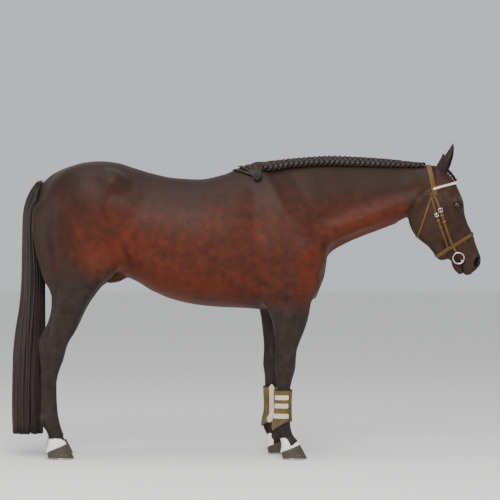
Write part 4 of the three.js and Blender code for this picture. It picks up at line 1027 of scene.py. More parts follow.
class Nodes:
    """A material's node tree, built one node at a time."""

    def __init__(self, name: str) -> None:
        self.material = bpy.data.materials.new(name)
        self.material.use_nodes = True
        self.tree = self.material.node_tree
        self.shader = self.tree.nodes["Principled BSDF"]

    def add(self, kind: str, inputs: dict | None = None, out: int | str = 0, **settings):
        """Adds a node with settings and links.

        Args:
            kind: the node's type, without its ShaderNode prefix.
            inputs: values or sockets for its inputs.
            out: which output is returned.
            settings: attributes of the node.
        Returns:
            The output socket.
        """
        node = self.tree.nodes.new("ShaderNode" + kind)
        for key, value in settings.items():
            setattr(node, key, value)
        for key, value in (inputs or {}).items():
            self.link(node.inputs[key], value)
        return node.outputs[out]

    def link(self, socket, value) -> None:
        """Links a socket to another, or sets its value."""
        if isinstance(value, bpy.types.NodeSocket):
            self.tree.links.new(value, socket)
        elif isinstance(value, str):
            socket.default_value = linear(value)
        else:
            socket.default_value = value

    def set(self, **values) -> None:
        """Sets the shader's sockets, named with underscores for spaces."""
        for key, value in values.items():
            self.link(self.shader.inputs[key.replace("_", " ")], value)

    def place(self, scale: Sequence[float] = (1, 1, 1), turn: Sequence[float] = (0, 0, 0)):
        """Returns Object coordinates, scaled and turned (degrees)."""
        inputs = {"Vector": self.add("TexCoord", out="Object"), "Scale": scale}
        inputs["Rotation"] = [math.radians(v) for v in turn]
        return self.add("Mapping", inputs)

    def noise(self, size_mm: float, where=None, detail: float = 3.0, rough: float = 0.5):
        """Returns noise whose features are about `size_mm` across."""
        inputs = {"Scale": 1000.0 / size_mm, "Detail": detail, "Roughness": rough}
        inputs["Vector"] = where if where is not None else self.place()
        return self.add("TexNoise", inputs)

    def curve(self, value, stops: Sequence[tuple[float, float | str]]):
        """Returns a value or colour through a ramp of (place, grey or colour)."""
        node = self.tree.nodes.new("ShaderNodeValToRGB")
        self.link(node.inputs["Fac"], value)
        for i, (at, colour) in enumerate(stops):
            element = node.color_ramp.elements[i] if i < 2 else node.color_ramp.elements.new(at)
            element.position = at
            element.color = linear(colour) if isinstance(colour, str) else (colour, colour, colour, 1.0)
        return node.outputs["Color"]

    def mix(self, part, a, b):
        """Returns colours a and b mixed."""
        node = self.tree.nodes.new("ShaderNodeMix")
        node.data_type = "RGBA"
        self.link(node.inputs[0], part)
        self.link(node.inputs[6], a)
        self.link(node.inputs[7], b)
        return node.outputs[2]

    def shades(self, value, first, second, stops=((0.3, 0.0), (0.7, 1.0))):
        """Returns a colour that runs from the first to the second as a value rises."""
        return self.mix(self.curve(value, stops), first, second)

    def math(self, mode: str, a, b=0.0, clamp: bool = False):
        """Returns the outcome of a reckoning with one or two values."""
        return self.add("Math", {0: a, 1: b}, operation=mode, use_clamp=clamp)

    def plus(self, a, b, clamp: bool = False):
        """Returns a sum."""
        return self.math("ADD", a, b, clamp)

    def times(self, a, b):
        """Returns a product."""
        return self.math("MULTIPLY", a, b)

    def painted(self, name: str):
        """Returns a number kept on the mesh."""
        return self.add("Attribute", out="Fac", attribute_name=name)

    def bump(self, height, depth_mm: float, strength: float):
        """Returns a normal with relief `depth_mm` deep."""
        return self.add("Bump", {"Height": height, "Distance": depth_mm * MM, "Strength": strength})


# ---------------------------------------------------------------- markings of the coat


@dataclass(frozen=True)
class Marking:
    """Where the coat is dark above, warm, brown as on the face, dark on the legs, white and bare: 0 to 1."""

    top: Array
    warm: Array
    face: Array
    dark: Array
    white: Array
    bare: Array


def warmth(x: Array, z: Array, normal: Array, along: Array, head: Array, drop: Array) -> Array:
    """Returns where the coat is red: most on belly and flank, less on shoulder, haunch and breast."""
    warm = 0.52 * ramp(90, 400, drop) * (1 - head) * ramp(-1030, -860, x + 0.25 * (z - 1200))
    belly = through([
        [-1200, 1150], [-800, 1120], [-560, 980], [0, 860], [250, 960], [450, 1160], [950, 1400],
    ])
    under = 1.0 - ramp(20, 230, z - belly(x)[0])
    flank = np.exp(-((x + 640) / 130) ** 2 - ((z - 1150) / 130) ** 2)
    warm = warm * (1.0 + 1.1 * np.maximum(under * ramp(60, 200, np.abs(x - 150)), 0.8 * flank))
    warm = warm * (1.0 - 0.3 * ramp(60, 240, x) * (1.0 - ramp(420, 580, x)) - 0.28 * ramp(-760, -900, x))
    poll = 0.3 * head * (1 - ramp(60, 260, along))
    warm = np.where(head > 0.01, np.maximum(warm * (1 - head), poll), warm)
    warm = warm * (1.0 - 0.5 * ramp(0.5, 0.9, normal[:, 0]) * ramp(220, 300, x) * (1.0 - ramp(560, 640, x)))
    return np.clip(warm, 0, 1)


def darkness(p: Array, gap: Array) -> Array:
    """Returns where the coat is near black: the legs, the sheath, the tips of the ears, round the eyes."""
    x, y, z = p.T
    fore, hind = 1.0 - ramp(760, 960, z), 1.0 - ramp(900, 1120, z - 0.15 * (x + 1000))
    outer = np.maximum(1.0 - ramp(820, 870, z), ramp(50, 90, np.abs(y)))
    dark = np.where(x > -300, fore * outer, hind * (1.0 - ramp(-770, -690, x)))
    sheath = np.exp(-((x + 750) / 90) ** 2 - ((z - 985) / 40) ** 2 - (y / 45) ** 2)
    dark = np.maximum(np.clip(dark, 0, 1), 0.75 * sheath)
    for ear in EARS:
        t, w, o = ear.local(p)
        dark = np.maximum(dark, ramp(0.72, 0.98, t) * (np.hypot(w, o) < 40))
    return np.maximum(dark, (1.0 - ramp(3.0, 14.0, gap)) * 0.7 * (x > 1000))


def whiteness(x: Array, y: Array, z: Array) -> Array:
    """Returns the white of the feet: the fore heels, the right fore coronet and the hind pasterns."""
    left, fore = y > 0, x > BETWEEN_LEGS
    sx = as_right(x, z, left)
    edge = np.where(left, 215.0 + 16.0 * (1.0 - ramp(80, 96, z)), 223.0 + 0.5 * (119.0 - z))
    heel = (1.0 - ramp(112, 126, z)) * ramp(4.0, -4.0, sx - edge)
    coronet = 1.0 - ramp(6, 12, over_hoof(sx, z, fore) - np.clip(0.42 * (sx - 243.0), 0.0, 17.0))
    fore_white = np.where(left, heel, np.maximum(heel, coronet * ramp(215, 235, sx)))
    hind_white = (1.0 - ramp(112, 120, z)) * (1.0 - ramp(112, 120, z + 0.66 * np.maximum(sx + 1037, 0)))
    return np.where(fore, fore_white, hind_white) * (z < 260)


def bareness(p: Array, normal: Array, gap: Array) -> Array:
    """Returns where the skin shows: rims of the eyes, nostrils, lips and the insides of the ears."""
    x, y, z = p.T
    rim = (1.0 - ramp(1.0, 5.0, gap)) * (x > 1000)
    nose = (1.0 - ramp(0.85, 1.25, NOSTRIL.reach(p))) * (np.abs(y) > 14) * (x > 1100)
    lips = Crease(MOUTH_LINE, 7.0, 1.0).amount(*in_head(x, z)) * (x > 1100)
    bare = np.maximum(np.maximum(rim, nose), np.maximum(lips, 0.0))
    for ear in EARS:
        t, w, o = ear.local(p)
        half, deep, _ = through(ear.rows)(t)
        hollow = (np.abs(w) < half * 0.8) & (o < deep * 0.7)
        inside = (t > 0.1) & (t < 0.95) & hollow & (normal @ ear.axes()[2] > 0.25)
        bare = np.maximum(bare, 0.55 * inside)
    return bare


def markings(p: Array, normal: Array) -> Marking:
    """Returns the coat's markings at places (n, 3) in millimetres."""
    x, y, z = p.T
    along, _ = in_head(x, z)
    head = ramp(0, 70, along) * (x > 900)
    spine = through([[-1200, 1560], [-800, 1660], [-400, 1575], [60, 1650], [1000, 1650]])(x)[0]
    drop = spine - z
    top = (1.0 - ramp(-10, 250, drop)) * (1 - head)
    rump = 0.75 * ramp(-1010, -1130, x) * ramp(900, 1100, z)
    u, v, _ = EYE.local(p)
    gap = EYE.gap(u, v)
    return Marking(
        top=np.maximum(top, rump),
        warm=warmth(x, z, normal, along, head, drop),
        face=head * ramp(10, 60, along),
        dark=darkness(p, gap),
        white=whiteness(x, y, z),
        bare=bareness(p, normal, gap),
    )


def paint_markings(piece: bpy.types.Object, marks: Marking, each: int = 1) -> None:
    """Keeps the markings on a piece's mesh, `each` corners in a row sharing one place's."""
    for name in Marking.__dataclass_fields__:
        paint(piece, name, np.repeat(getattr(marks, name), each))


def coat_colour(n: Nodes):
    """Returns the coat's colour from the markings kept on the mesh."""
    broad = n.noise(130, detail=2)
    mottle = n.noise(46, detail=4, rough=0.6)
    fine = n.noise(9, detail=3)
    body = n.shades(mottle, "#2c1912", "#3d231a", ((0.25, 0.0), (0.8, 1.0)))
    warm = n.shades(mottle, "#4b1e10", "#632b16", ((0.25, 0.0), (0.8, 1.0)))
    blotch = n.times(n.math("SUBTRACT", n.plus(mottle, broad), 1.0), 0.75)
    blotched = n.times(blotch, n.curve(n.painted("warm"), [(0.0, 0.0), (0.5, 1.0)]))
    colour = n.mix(n.plus(n.painted("warm"), blotched, True), body, warm)
    for marking, part, pattern, deep, pale in (
        ("face", 0.8, mottle, "#301f17", "#3d2920"),
        ("top", 0.85, fine, "#21160f", "#2c1e18"),
        ("dark", 1.0, mottle, "#231d1a", "#332b28"),
        ("bare", 1.0, fine, "#1a1514", "#2a2220"),
    ):
        colour = n.mix(n.times(n.painted(marking), part), colour, n.shades(pattern, deep, pale))
    edge = n.plus(n.painted("white"), n.times(n.math("SUBTRACT", n.noise(7, detail=4), 0.5), 0.5))
    return n.mix(n.curve(edge, [(0.42, 0.0), (0.6, 1.0)]), colour, n.mix(fine, "#ebe7df", "#faf8f3"))


def coat_material(name: str, hairs: bool) -> bpy.types.Material:
    """Short summer coat: fine hairs lying flat, with a soft sheen."""
    n = Nodes(name)
    n.set(Base_Color=coat_colour(n), Roughness=0.48, Specular_IOR_Level=0.15)
    n.set(Sheen_Weight=0.015, Sheen_Roughness=0.4)
    if hairs:
        lying = n.noise(1.6, n.place((0.22, 1.0, 1.0), (0, 28, 0)), detail=2)
        hanging = n.noise(1.4, n.place((1.0, 1.0, 0.2)), detail=2)
        hair = n.mix(n.painted("dark"), lying, hanging)
        clumps = n.noise(14, n.place((0.4, 1.0, 1.0), (0, 28, 0)), detail=3)
        height = n.plus(n.times(hair, 0.6), n.times(clumps, 0.7))
        n.set(Normal=n.bump(height, 0.7, 0.55))
    return n.material


class Coat:
    """The skin as a mesh, with its markings."""

    nodes = (
        "trunk", "neck", "head", "ear_left", "ear_right",
        "foreleg_left", "foreleg_right", "hindleg_left", "hindleg_right",
    )

    def __init__(self, skin: Skin) -> None:
        self.skin = skin
        self.material = coat_material("short_coat", True)

    def build(self) -> None:
        """Makes the skin and hides the plain solids that it stands for."""
        piece = mesh_piece("skin", self.skin.points, self.skin.triangles, self.material)
        paint_markings(piece, markings(self.skin.points, self.skin.normal))
        keep(piece, "coat", *self.nodes)


# ---------------------------------------------------------------- things that lie on the skin


def cast_out(centre: Array, way: Array) -> Array:
    """Returns the first place out from each centre along its way that is outside the body."""
    centre, way = np.broadcast_arrays(np.asarray(centre, float), unit(np.asarray(way, float)))
    near, far = np.zeros(len(centre)), np.full(len(centre), 6.0)
    for _ in range(60):
        inside = body_distance(*(centre + way * far[:, None]).T) < 0
        if not inside.any():
            break
        near, far = np.where(inside, far, near), np.where(inside, far + 6.0, far)
    for _ in range(12):
        middle = 0.5 * (near + far)
        inside = body_distance(*(centre + way * middle[:, None]).T) < 0
        near, far = np.where(inside, middle, near), np.where(inside, far, middle)
    return centre + way * far[:, None]


def around(centre: Sequence[float], up: Sequence[float], low: float, high: float, count: int) -> Array:
    """Returns places on the body around [x, z], over angles in degrees from `up`."""
    angle = np.radians(np.linspace(low, high, count + 1))
    way = unit(np.array([up[0], 0.0, up[1]]))
    out = way * np.cos(angle)[:, None]
    out[:, 1] = np.sin(angle)
    return cast_out(np.array([[centre[0], 0.0, centre[1]]]), out)


def spaced(points: Array, count: int) -> Array:
    """Returns a smooth curve through points, cut into even steps."""
    points = np.asarray(points, float)
    if len(points) > 2:
        before = np.concatenate([[2 * points[0] - points[1]], points[:-1]])
        after = np.concatenate([points[1:], [2 * points[-1] - points[-2]]])
        slope = 0.5 * (after - before)
        u = np.linspace(0, 1, 13)[:-1][None, :, None]
        fine = hermite(points[:-1, None], points[1:, None], slope[:-1, None], slope[1:, None], u)
        points = np.concatenate([fine.reshape(-1, points.shape[1]), points[-1:]])
    step = np.linalg.norm(np.diff(points, axis=0), axis=1)
    at = np.concatenate([[0.0], np.cumsum(step)])
    want = np.linspace(0, at[-1], count + 1)
    return np.stack([np.interp(want, at, points[:, k]) for k in range(points.shape[1])], 1)


def down_side(route: Sequence[Sequence[float]], sign: float, count: int) -> Array:
    """Returns places on one side of the body along a line in the side view."""
    flat = spaced(np.array(route, float), count)
    centre = np.stack([flat[:, 0], np.zeros(len(flat)), flat[:, 1]], 1)
    return cast_out(centre, np.tile([0.0, sign, 0.0], (len(flat), 1)))


class Surface:
    """The finished skin, asked how far it stands above or below the smooth body."""

    def __init__(self, skin: Skin) -> None:
        self.tree = BVHTree.FromPolygons(skin.points.tolist(), skin.triangles.tolist())

    def rise(self, p: Array, normal: Array, start: float = 24.0) -> Array:
        """Returns the skin's height over places along their normals."""
        out = np.full(len(p), -3.0)
        for i, (q, n) in enumerate(zip(p, normal)):
            hit = self.tree.ray_cast(Vector(q + n * start), Vector(-n), 2.2 * start)
            if hit[0] is not None:
                out[i] = start - hit[3]
        return out


def smoothed(values: Array, width: int, closed: bool = False) -> Array:
    """Returns values averaged along a line over `width` neighbours to each side."""
    pad = np.pad(values, width, mode="wrap" if closed else "edge")
    kernel = np.hanning(2 * width + 3)[1:-1]
    return np.convolve(pad, kernel / kernel.sum(), mode="valid")


STRAP_PLACES = (-1.0, -0.5, 0.0, 0.5, 1.0)  # where across its width a strap feels for the skin
STRAP_TOP = 4  # the corner in the middle of the outer face
STRAP_SECTION = (  # place across, from -1 to 1, and part of the thickness
    (-1.0, 0.42), (-0.96, 0.8), (-0.86, 0.98), (-0.45, 1.04), (0.0, 1.06),
    (0.45, 1.04), (0.86, 0.98), (0.96, 0.8), (1.0, 0.42),
    (0.95, 0.08), (0.6, 0.0), (0.0, 0.0), (-0.6, 0.0), (-0.95, 0.08),
)


def swept(rings: Array, closed: bool = False) -> tuple[Array, list[list[int]]]:
    """Joins rings of corners (r, c, 3) into a tube with closed ends.

    Args:
        rings: corners, ring by ring.
        closed: whether the last ring joins the first.
    Returns:
        Points and faces.
    """
    count, size = rings.shape[:2]
    faces = []
    for r in range(count if closed else count - 1):
        a, b = r * size, ((r + 1) % count) * size
        faces += [[a + i, a + (i + 1) % size, b + (i + 1) % size, b + i] for i in range(size)]
    if not closed:
        faces += [list(range(size))[::-1], [(count - 1) * size + i for i in range(size)]]
    return rings.reshape(-1, 3), faces


def keep_uv(piece: bpy.types.Object, name: str, rows: Array) -> None:
    """Keeps a UV map on a piece, one row for each corner of each face."""
    layer = piece.data.uv_layers.new(name=name)
    layer.data.foreach_set("uv", np.asarray(rows, np.float32).ravel())


def tube_uv(piece: bpy.types.Object, rings: Array, closed: bool) -> None:
    """Keeps the map Length on a swept piece: metres along it, and part of the way round it."""
    count, size = rings.shape[:2]
    middle = rings.mean(1)
    step = np.linalg.norm(np.roll(middle, -1, 0) - middle, axis=1) * MM
    at = np.concatenate([[0.0], np.cumsum(step)])
    uv = np.zeros((len(piece.data.loops), 2), np.float32)
    k = 0
    for r in range(count if closed else count - 1):
        for i in range(size):
            for dr, di in ((0, 0), (0, 1), (1, 1), (1, 0)):
                uv[k] = (at[r + dr], (i + di) / size)
                k += 1
    keep_uv(piece, "Length", uv)


@dataclass(frozen=True)
class Strap:
    """A leather strap laid along places on the body."""

    name: str
    half: float
    thick: float = 3.2
    lift: float = 1.2
    closed: bool = False

    def build(
        self, surface: Surface, path: Array, material: bpy.types.Material, *nodes: str
    ) -> tuple[Array, Array]:
        """Makes the strap.

        Args:
            surface: the skin it lies on.
            path: places on the body (n, 3); those of a closed strap go once round it.
            material: its finish.
            nodes: the plain solids that it stands for.
        Returns:
            The places along the middle of its outer face, and the way out there.
        """
        if self.closed:
            ahead = np.roll(path, -1, 0) - np.roll(path, 1, 0)
        else:
            ahead = np.gradient(path, axis=0)
        normal = unit(slope_of(body_distance, path, 2.0))
        across = unit(np.cross(normal, ahead))
        feet, outs, rises = [], [], []
        for s in STRAP_PLACES:
            foot = onto(body_distance, path + across * (s * self.half), 0.0, 3)
            out = unit(slope_of(body_distance, foot, 2.0))
            feet.append(foot)
            outs.append(out)
            rises.append(surface.rise(foot, out))
        rise = np.clip(np.max(rises, axis=0), -9.0, 9.0)
        rise = np.maximum(smoothed(rise, 3, self.closed), smoothed(rise, 1, self.closed) - 0.6) + self.lift
        rings = []
        for s, h in STRAP_SECTION:
            k = np.clip(np.searchsorted(STRAP_PLACES, s, side="right") - 1, 0, len(STRAP_PLACES) - 2)
            t = (s - STRAP_PLACES[k]) / 0.5
            foot = lerp(feet[k], feet[k + 1], t)
            out = unit(lerp(outs[k], outs[k + 1], t))
            rings.append(foot + out * (rise + h * self.thick)[:, None])
        rings = np.stack(rings, 1)
        points, faces = swept(rings, self.closed)
        piece = mesh_piece(self.name, points, faces, material)
        tube_uv(piece, rings, self.closed)
        keep(piece, "bridle_leather", *nodes)
        return rings[:, STRAP_TOP], outs[2]


class Bridle:
    """The bridle: crownpiece, browband, throatlatch, noseband, cheekpieces, buckles and bit rings."""

    # Lines in the side view, from the crown down.
    cheek_route = (
        (1046, 1482), (1070, 1430), (1087, 1384), (1110, 1314), (1138, 1240), (1174, 1166), (1186, 1146),
    )
    hanger_route = ((1034, 1484), (1050, 1415), (1065, 1359), (1085, 1303), (1134, 1176))

    def __init__(self, surface: Surface) -> None:
        self.surface = surface
        self.leather = self._leather()
        self.loop_leather = self._loop_leather()
        self.chrome = self._chrome()
        self.pearl = self._pearl()

    def _leather(self) -> bpy.types.Material:
        """Golden tan bridle leather: smooth, waxed, dark at its edges, with stitches by each edge."""
        n = Nodes("tan_bridle_leather")
        uv = n.add("UVMap", uv_map="Length")
        metres = n.add("SeparateXYZ", {"Vector": uv})
        across = n.add("SeparateXYZ", {"Vector": uv}, out="Y")
        edge = n.curve(across, [(0.0, 1.0), (0.08, 1.0), (0.14, 0.0), (0.43, 0.0), (0.49, 1.0), (0.9, 1.0)])
        grain = n.noise(3.0, detail=5, rough=0.6)
        tan = n.mix(n.times(grain, 0.4), n.shades(n.noise(38), "#4f350b", "#66460f"), "#42290c")
        worn = n.mix(n.times(edge, 0.92), tan, "#1d1007")
        dash = n.math("LESS_THAN", n.math("FRACT", n.times(metres, 240.0)), 0.62)
        one_row = ((0.0, 0.0), (0.01, 1.0), (0.025, 1.0), (0.035, 0.0))
        rows = [(at + step, lit) for at in (0.13, 0.41) for step, lit in one_row]
        stitch = n.times(dash, n.curve(across, rows))
        n.set(Base_Color=n.mix(n.times(stitch, 0.6), worn, "#b8985a"), Roughness=0.46, Specular_IOR_Level=0.3)
        height = n.plus(n.times(grain, 0.35), n.times(stitch, 0.8))
        n.set(Normal=n.bump(height, 0.5, 0.6))
        return n.material

    def _loop_leather(self) -> bpy.types.Material:
        """The same leather for small loops, without stitches."""
        n = Nodes("tan_leather_loop")
        n.set(Base_Color=n.mix(n.noise(6, detail=4), "#5c3a12", "#8a6220"), Roughness=0.45)
        n.set(Normal=n.bump(n.noise(2.5, detail=4), 0.3, 0.5))
        return n.material

    def _chrome(self) -> bpy.types.Material:
        """Polished plated steel with faint wiping marks."""
        n = Nodes("plated_steel")
        marks = n.noise(12, detail=4)
        n.set(Base_Color="#c9c8c4", Metallic=1.0, Roughness=n.curve(marks, [(0.3, 0.12), (0.7, 0.26)]))
        return n.material

    def _pearl(self) -> bpy.types.Material:
        """Cream pearl beads with a soft lustre."""
        n = Nodes("pearl_bead")
        n.set(Base_Color=n.mix(n.noise(9), "#e6d8b4", "#f6efdc"), Roughness=0.24)
        n.set(Coat_Weight=0.5, Coat_Roughness=0.12)
        return n.material

    def build(self) -> None:
        """Makes every piece of the bridle."""
        crown = around((1044, 1540), (-0.19, 0.98), -134, 134, 72)
        self._strap(Strap("bridle_crown_strap", 13.0, 3.4), crown, "bridle_crownpiece")
        self._browband()
        throat = around((1003, 1362), (-0.316, -0.949), -143, 143, 90)
        self._strap(Strap("bridle_throat_strap", 5.5, 2.8, 2.2), throat, "bridle_throatlatch")
        nose = around((1176, 1194), (0.85, 0.527), 0, 355, 71)
        self._strap(Strap("bridle_nose_strap", 10.0, 4.2, 1.2, True), nose, "bridle_noseband")
        for word, sign in SIDES:
            hanger = down_side(self.hanger_route, sign, 48)
            line, out = self._strap(Strap(f"bridle_hanger_{word}", 5.5, 2.8, 1.2), hanger)
            self._buckle(f"bridle_nose_buckle_{word}", line, out, 1359, 8.0, 10.0)
            cheek = down_side(self.cheek_route, sign, 60)
            strap = Strap(f"bridle_cheek_strap_{word}", 6.8, 3.0, 5.2)
            line, out = self._strap(strap, cheek, f"bridle_cheekpiece_{word}")
            self._buckle(f"bridle_cheek_buckle_{word}", line, out, 1384, 9.5, 11.5)
            self._ring(word, sign)

    def _strap(self, strap: Strap, path: Array, *nodes: str) -> tuple[Array, Array]:
        """Makes a strap, and returns the places along its outer face and the way out there."""
        return strap.build(self.surface, path, self.leather, *nodes)

    def _browband(self) -> None:
        """Makes the browband, with three rows of beads along it."""
        path = around((1068, 1512), (0.966, 0.256), -104, 104, 88)
        line, out = self._strap(Strap("browband_strip", 8.2, 3.0, 1.6), path, "bridle_browband")
        ahead = np.gradient(line, axis=0)
        across = unit(np.cross(out, ahead))
        length = float(np.linalg.norm(np.diff(line, axis=0), axis=1).sum())
        count = int(length / 6.4)
        row = spaced(line, count)
        ways, outs = spaced(across, count), spaced(out, count)
        beads = []
        for shift, size in ((-4.4, 2.7), (0.0, 3.4), (4.4, 2.7)):
            for p, a, o in zip(row, unit(ways), unit(outs)):
                beads.append((p + a * shift + o * 0.8, size))
        keep(balls("browband_beads", beads, self.pearl, 10, 7), "beads")

    def _buckle(
        self, name: str, line: Array, out: Array, height: float, half_long: float, half_wide: float
    ) -> None:
        """Makes a buckle with its tongue, and two keepers below it.

        Args:
            name: the node that it stands for.
            line: places along the strap's outer face.
            out: the way out at each.
            height: how high the buckle sits.
            half_long: half the frame's length along the strap.
            half_wide: half its width.
        """
        at = int(np.argmin(np.abs(line[:, 2] - height)))
        ahead = unit(line[at + 1] - line[at - 1])
        up = unit(out[at])
        side = unit(np.cross(up, ahead))
        corner = 3.0
        outline = []
        for k, quarter in enumerate(((1, 1), (-1, 1), (-1, -1), (1, -1))):
            c = np.array(quarter, float) * (half_long - corner, half_wide - corner)
            for t in np.radians(np.linspace(0, 90, 5)) + math.radians(90 * k):
                outline.append(c + corner * np.array([math.cos(t), math.sin(t)]))
        outline = np.array(outline)
        middle = line[at] + up * 1.4
        path = middle + outline[:, :1] * ahead + outline[:, 1:] * side
        tip = middle + ahead * (half_long + 1.5) + up * 0.6
        tongue = np.array([middle - ahead * half_long, middle + up * 1.6, tip])
        points, faces = merged([pipe(path, 1.7, True, 8), pipe(tongue, 1.1, False, 8)])
        keep(mesh_piece(name + "_frame", points, faces, self.chrome), "chrome", name)
        keepers = []
        for step in (5, 11):
            k = min(at + step, len(line) - 2)
            o, a = unit(out[k]), unit(line[k + 1] - line[k - 1])
            s = unit(np.cross(o, a))
            wide = half_wide - 1.6
            half = [(wide, -2.6), (wide, 1.0), (wide - 1.6, 2.2)]
            loop = [(-u, v) for u, v in half] + half[::-1]
            path = spaced(np.array([line[k] + s * u + o * v for u, v in loop]), 16)
            keepers.append(flat_pipe(path, a, 3.0, 0.9))
        points, faces = merged(keepers)
        keep(mesh_piece(name + "_keepers", points, faces, self.loop_leather), "bridle_leather")

    def _ring(self, word: str, sign: float) -> None:
        """Makes a bit ring with the end of the mouthpiece."""
        ring_x, ring_z, radius, bar_radius = 1193.0, 1118.0, 31.0, 4.0
        seat = cast_out(np.array([[ring_x, 0.0, ring_z]]), np.array([[0.0, sign, 0.0]]))[0]
        turn = np.radians(np.linspace(0, 360, 57)[:-1])
        middle = np.array([ring_x, seat[1] + sign * 11.0, ring_z])
        ahead = np.array([math.cos(0.1), sign * math.sin(0.1), 0.0])
        level, upright = np.cos(turn)[:, None] * ahead, np.sin(turn)[:, None] * np.array([0, 0, 1.0])
        path = middle + radius * (level + upright)
        pieces = [pipe(path, bar_radius, True, 12)]
        corner = np.array([1214.0, seat[1], 1102.0])
        inner = corner + np.array([2.0, -sign * 20.0, 0.0])
        outer = corner + np.array([1.0, sign * 17.0, -0.5])
        rod = spaced(np.array([inner, corner, outer]), 12)
        thick = np.interp(np.linspace(0, 1, 13), [0, 0.5, 0.8, 0.95, 1], [5.5, 6.2, 8.2, 8.2, 5.0])
        pieces.append(pipe(rod, thick, False, 14))
        points, faces = merged(pieces)
        keep(mesh_piece(f"bit_ring_{word}_plated", points, faces, self.chrome), "chrome", f"bit_ring_{word}")


def frames_along(path: Array, closed: bool) -> tuple[Array, Array, Array]:
    """Returns the way ahead and two ways across at each place of a path, turning as little as possible."""
    ahead = unit(np.roll(path, -1, 0) - np.roll(path, 1, 0)) if closed else unit(np.gradient(path, axis=0))
    first = np.cross(ahead[0], [0.0, 0.0, 1.0])
    if np.linalg.norm(first) < 0.2:
        first = np.cross(ahead[0], [1.0, 0.0, 0.0])
    side = [unit(first)]
    for a in ahead[1:]:
        side.append(unit(side[-1] - a * side[-1].dot(a)))
    side = np.array(side)
    return ahead, side, np.cross(ahead, side)


def pipe(path: Array, radius, closed: bool, sides: int) -> tuple[Array, list]:
    """Returns a round bar along a path."""
    path = np.asarray(path, float)
    _, side, up = frames_along(path, closed)
    angle = around_circle(sides)[None, :, None]
    radius = np.broadcast_to(radius, len(path))
    ring = np.cos(angle) * side[:, None] + np.sin(angle) * up[:, None]
    return swept(path[:, None] + radius[:, None, None] * ring, closed)


def flat_pipe(path: Array, wide_way: Array, half_wide: float, half_thick: float) -> tuple[Array, list]:
    """Returns a flat bar along a path, its broad way given."""
    ahead = unit(np.gradient(path, axis=0))
    wide = unit(np.broadcast_to(wide_way, path.shape) - ahead * (ahead @ wide_way)[:, None])
    thin = np.cross(ahead, wide)
    angle = around_circle(10)[None, :, None]
    c, s = np.cos(angle), np.sin(angle)
    c, s = np.sign(c) * np.abs(c) ** 0.6, np.sign(s) * np.abs(s) ** 0.6
    return swept(path[:, None] + half_wide * c * wide[:, None] + half_thick * s * thin[:, None])


def merged(pieces: Sequence[tuple[Array, list]]) -> tuple[Array, list]:
    """Returns several point and face lists as one."""
    points, faces, start = [], [], 0
    for p, f in pieces:
        points.append(p)
        faces += [[i + start for i in face] for face in f]
        start += len(p)
    return np.concatenate(points), faces


def balls(
    name: str, rows: Sequence[tuple[Array, float]], material: bpy.types.Material, sides: int, up: int
) -> bpy.types.Object:
    """Makes a piece of small balls.

    Args:
        name: the piece's name.
        rows: each ball's middle and radius.
        material: its finish.
        sides: corners round a ball.
        up: rings of corners between its ends.
    """
    rings = [
        [[math.cos(h) * math.cos(a), math.cos(h) * math.sin(a), math.sin(h)] for a in around_circle(sides)]
        for h in np.linspace(-math.pi / 2, math.pi / 2, up + 2)[1:-1]
    ]
    shape = np.concatenate([np.array(rings).reshape(-1, 3), [[0, 0, -1], [0, 0, 1]]])
    faces = []
    for r in range(up - 1):
        low, high = r * sides, (r + 1) * sides
        for i in range(sides):
            j = (i + 1) % sides
            faces.append([low + i, low + j, high + j, high + i])
    foot, head = up * sides, up * sides + 1
    faces += [[foot, (i + 1) % sides, i] for i in range(sides)]
    faces += [[head, foot - sides + i, foot - sides + (i + 1) % sides] for i in range(sides)]
    points, joined_faces = merged([(shape * size + middle, faces) for middle, size in rows])
    return mesh_piece(name, points, joined_faces, material)


# ---------------------------------------------------------------- tufts of the coat


def unwrapped(p: Array) -> Array:
    """Returns where places of the skin lie on a flat unwrap: sheets for the barrel, the head, each leg."""
    x, y, z = p.T
    along, front = in_head(x, z)
    axis = np.interp(x, [-1200, 60, 960], [1320, 1200, 1530])
    u, v = 0.03 + 0.94 * (x + 1260) / 2420, 0.53 + 0.44 * (np.arctan2(y, z - axis) / (2 * math.pi) + 0.5)
    head = on_head(x, along)
    u = np.where(head, 0.03 + 0.2 * along / 620, u)
    v = np.where(head, 0.03 + 0.44 * (np.arctan2(y, front + 20) / (2 * math.pi) + 0.5), v)
    for sheet, middle in enumerate((-1060.0, 225.0)):
        for side in (0, 1):
            here = (z < 800) & ((x > BETWEEN_LEGS) == bool(sheet)) & ((y > 0) == bool(side))
            turn = np.arctan2(np.abs(y) - LEG_SPREAD, x - middle) / (2 * math.pi) + 0.5
            u = np.where(here, 0.26 + 0.18 * (2 * sheet + side) + 0.16 * turn, u)
            v = np.where(here, 0.03 + 0.44 * z / 800, v)
    return np.stack([u, v], 1)


def lie(p: Array, normal: Array) -> Array:
    """Returns the way the hairs point at places, along the skin."""
    x, _, z = p.T
    along, _ = in_head(x, z)
    leg = (1.0 - ramp(780, 980, z))[:, None]
    head = (ramp(10, 90, along) * (x > 960))[:, None]
    way = lerp(np.array([-1.0, 0.0, -0.45]), np.array([-0.1, 0.0, -1.0]), leg)
    way = lerp(way, np.array([SIN, 0.0, -COS]), head)
    for ear in EARS:
        t, w, o = ear.local(p)
        way = lerp(way, ear.axes()[1], ((t > 0.0) & (np.hypot(w, o) < 42))[:, None])
    way = way + 1e-3
    return unit(way - normal * (way * normal).sum(1, keepdims=True))


@dataclass(frozen=True)
class Growth:
    """How the coat grows at places: how thickly it is sown, and a tuft's length, half width and stand."""

    density: Array
    length: Array
    half_width: Array
    stand: Array


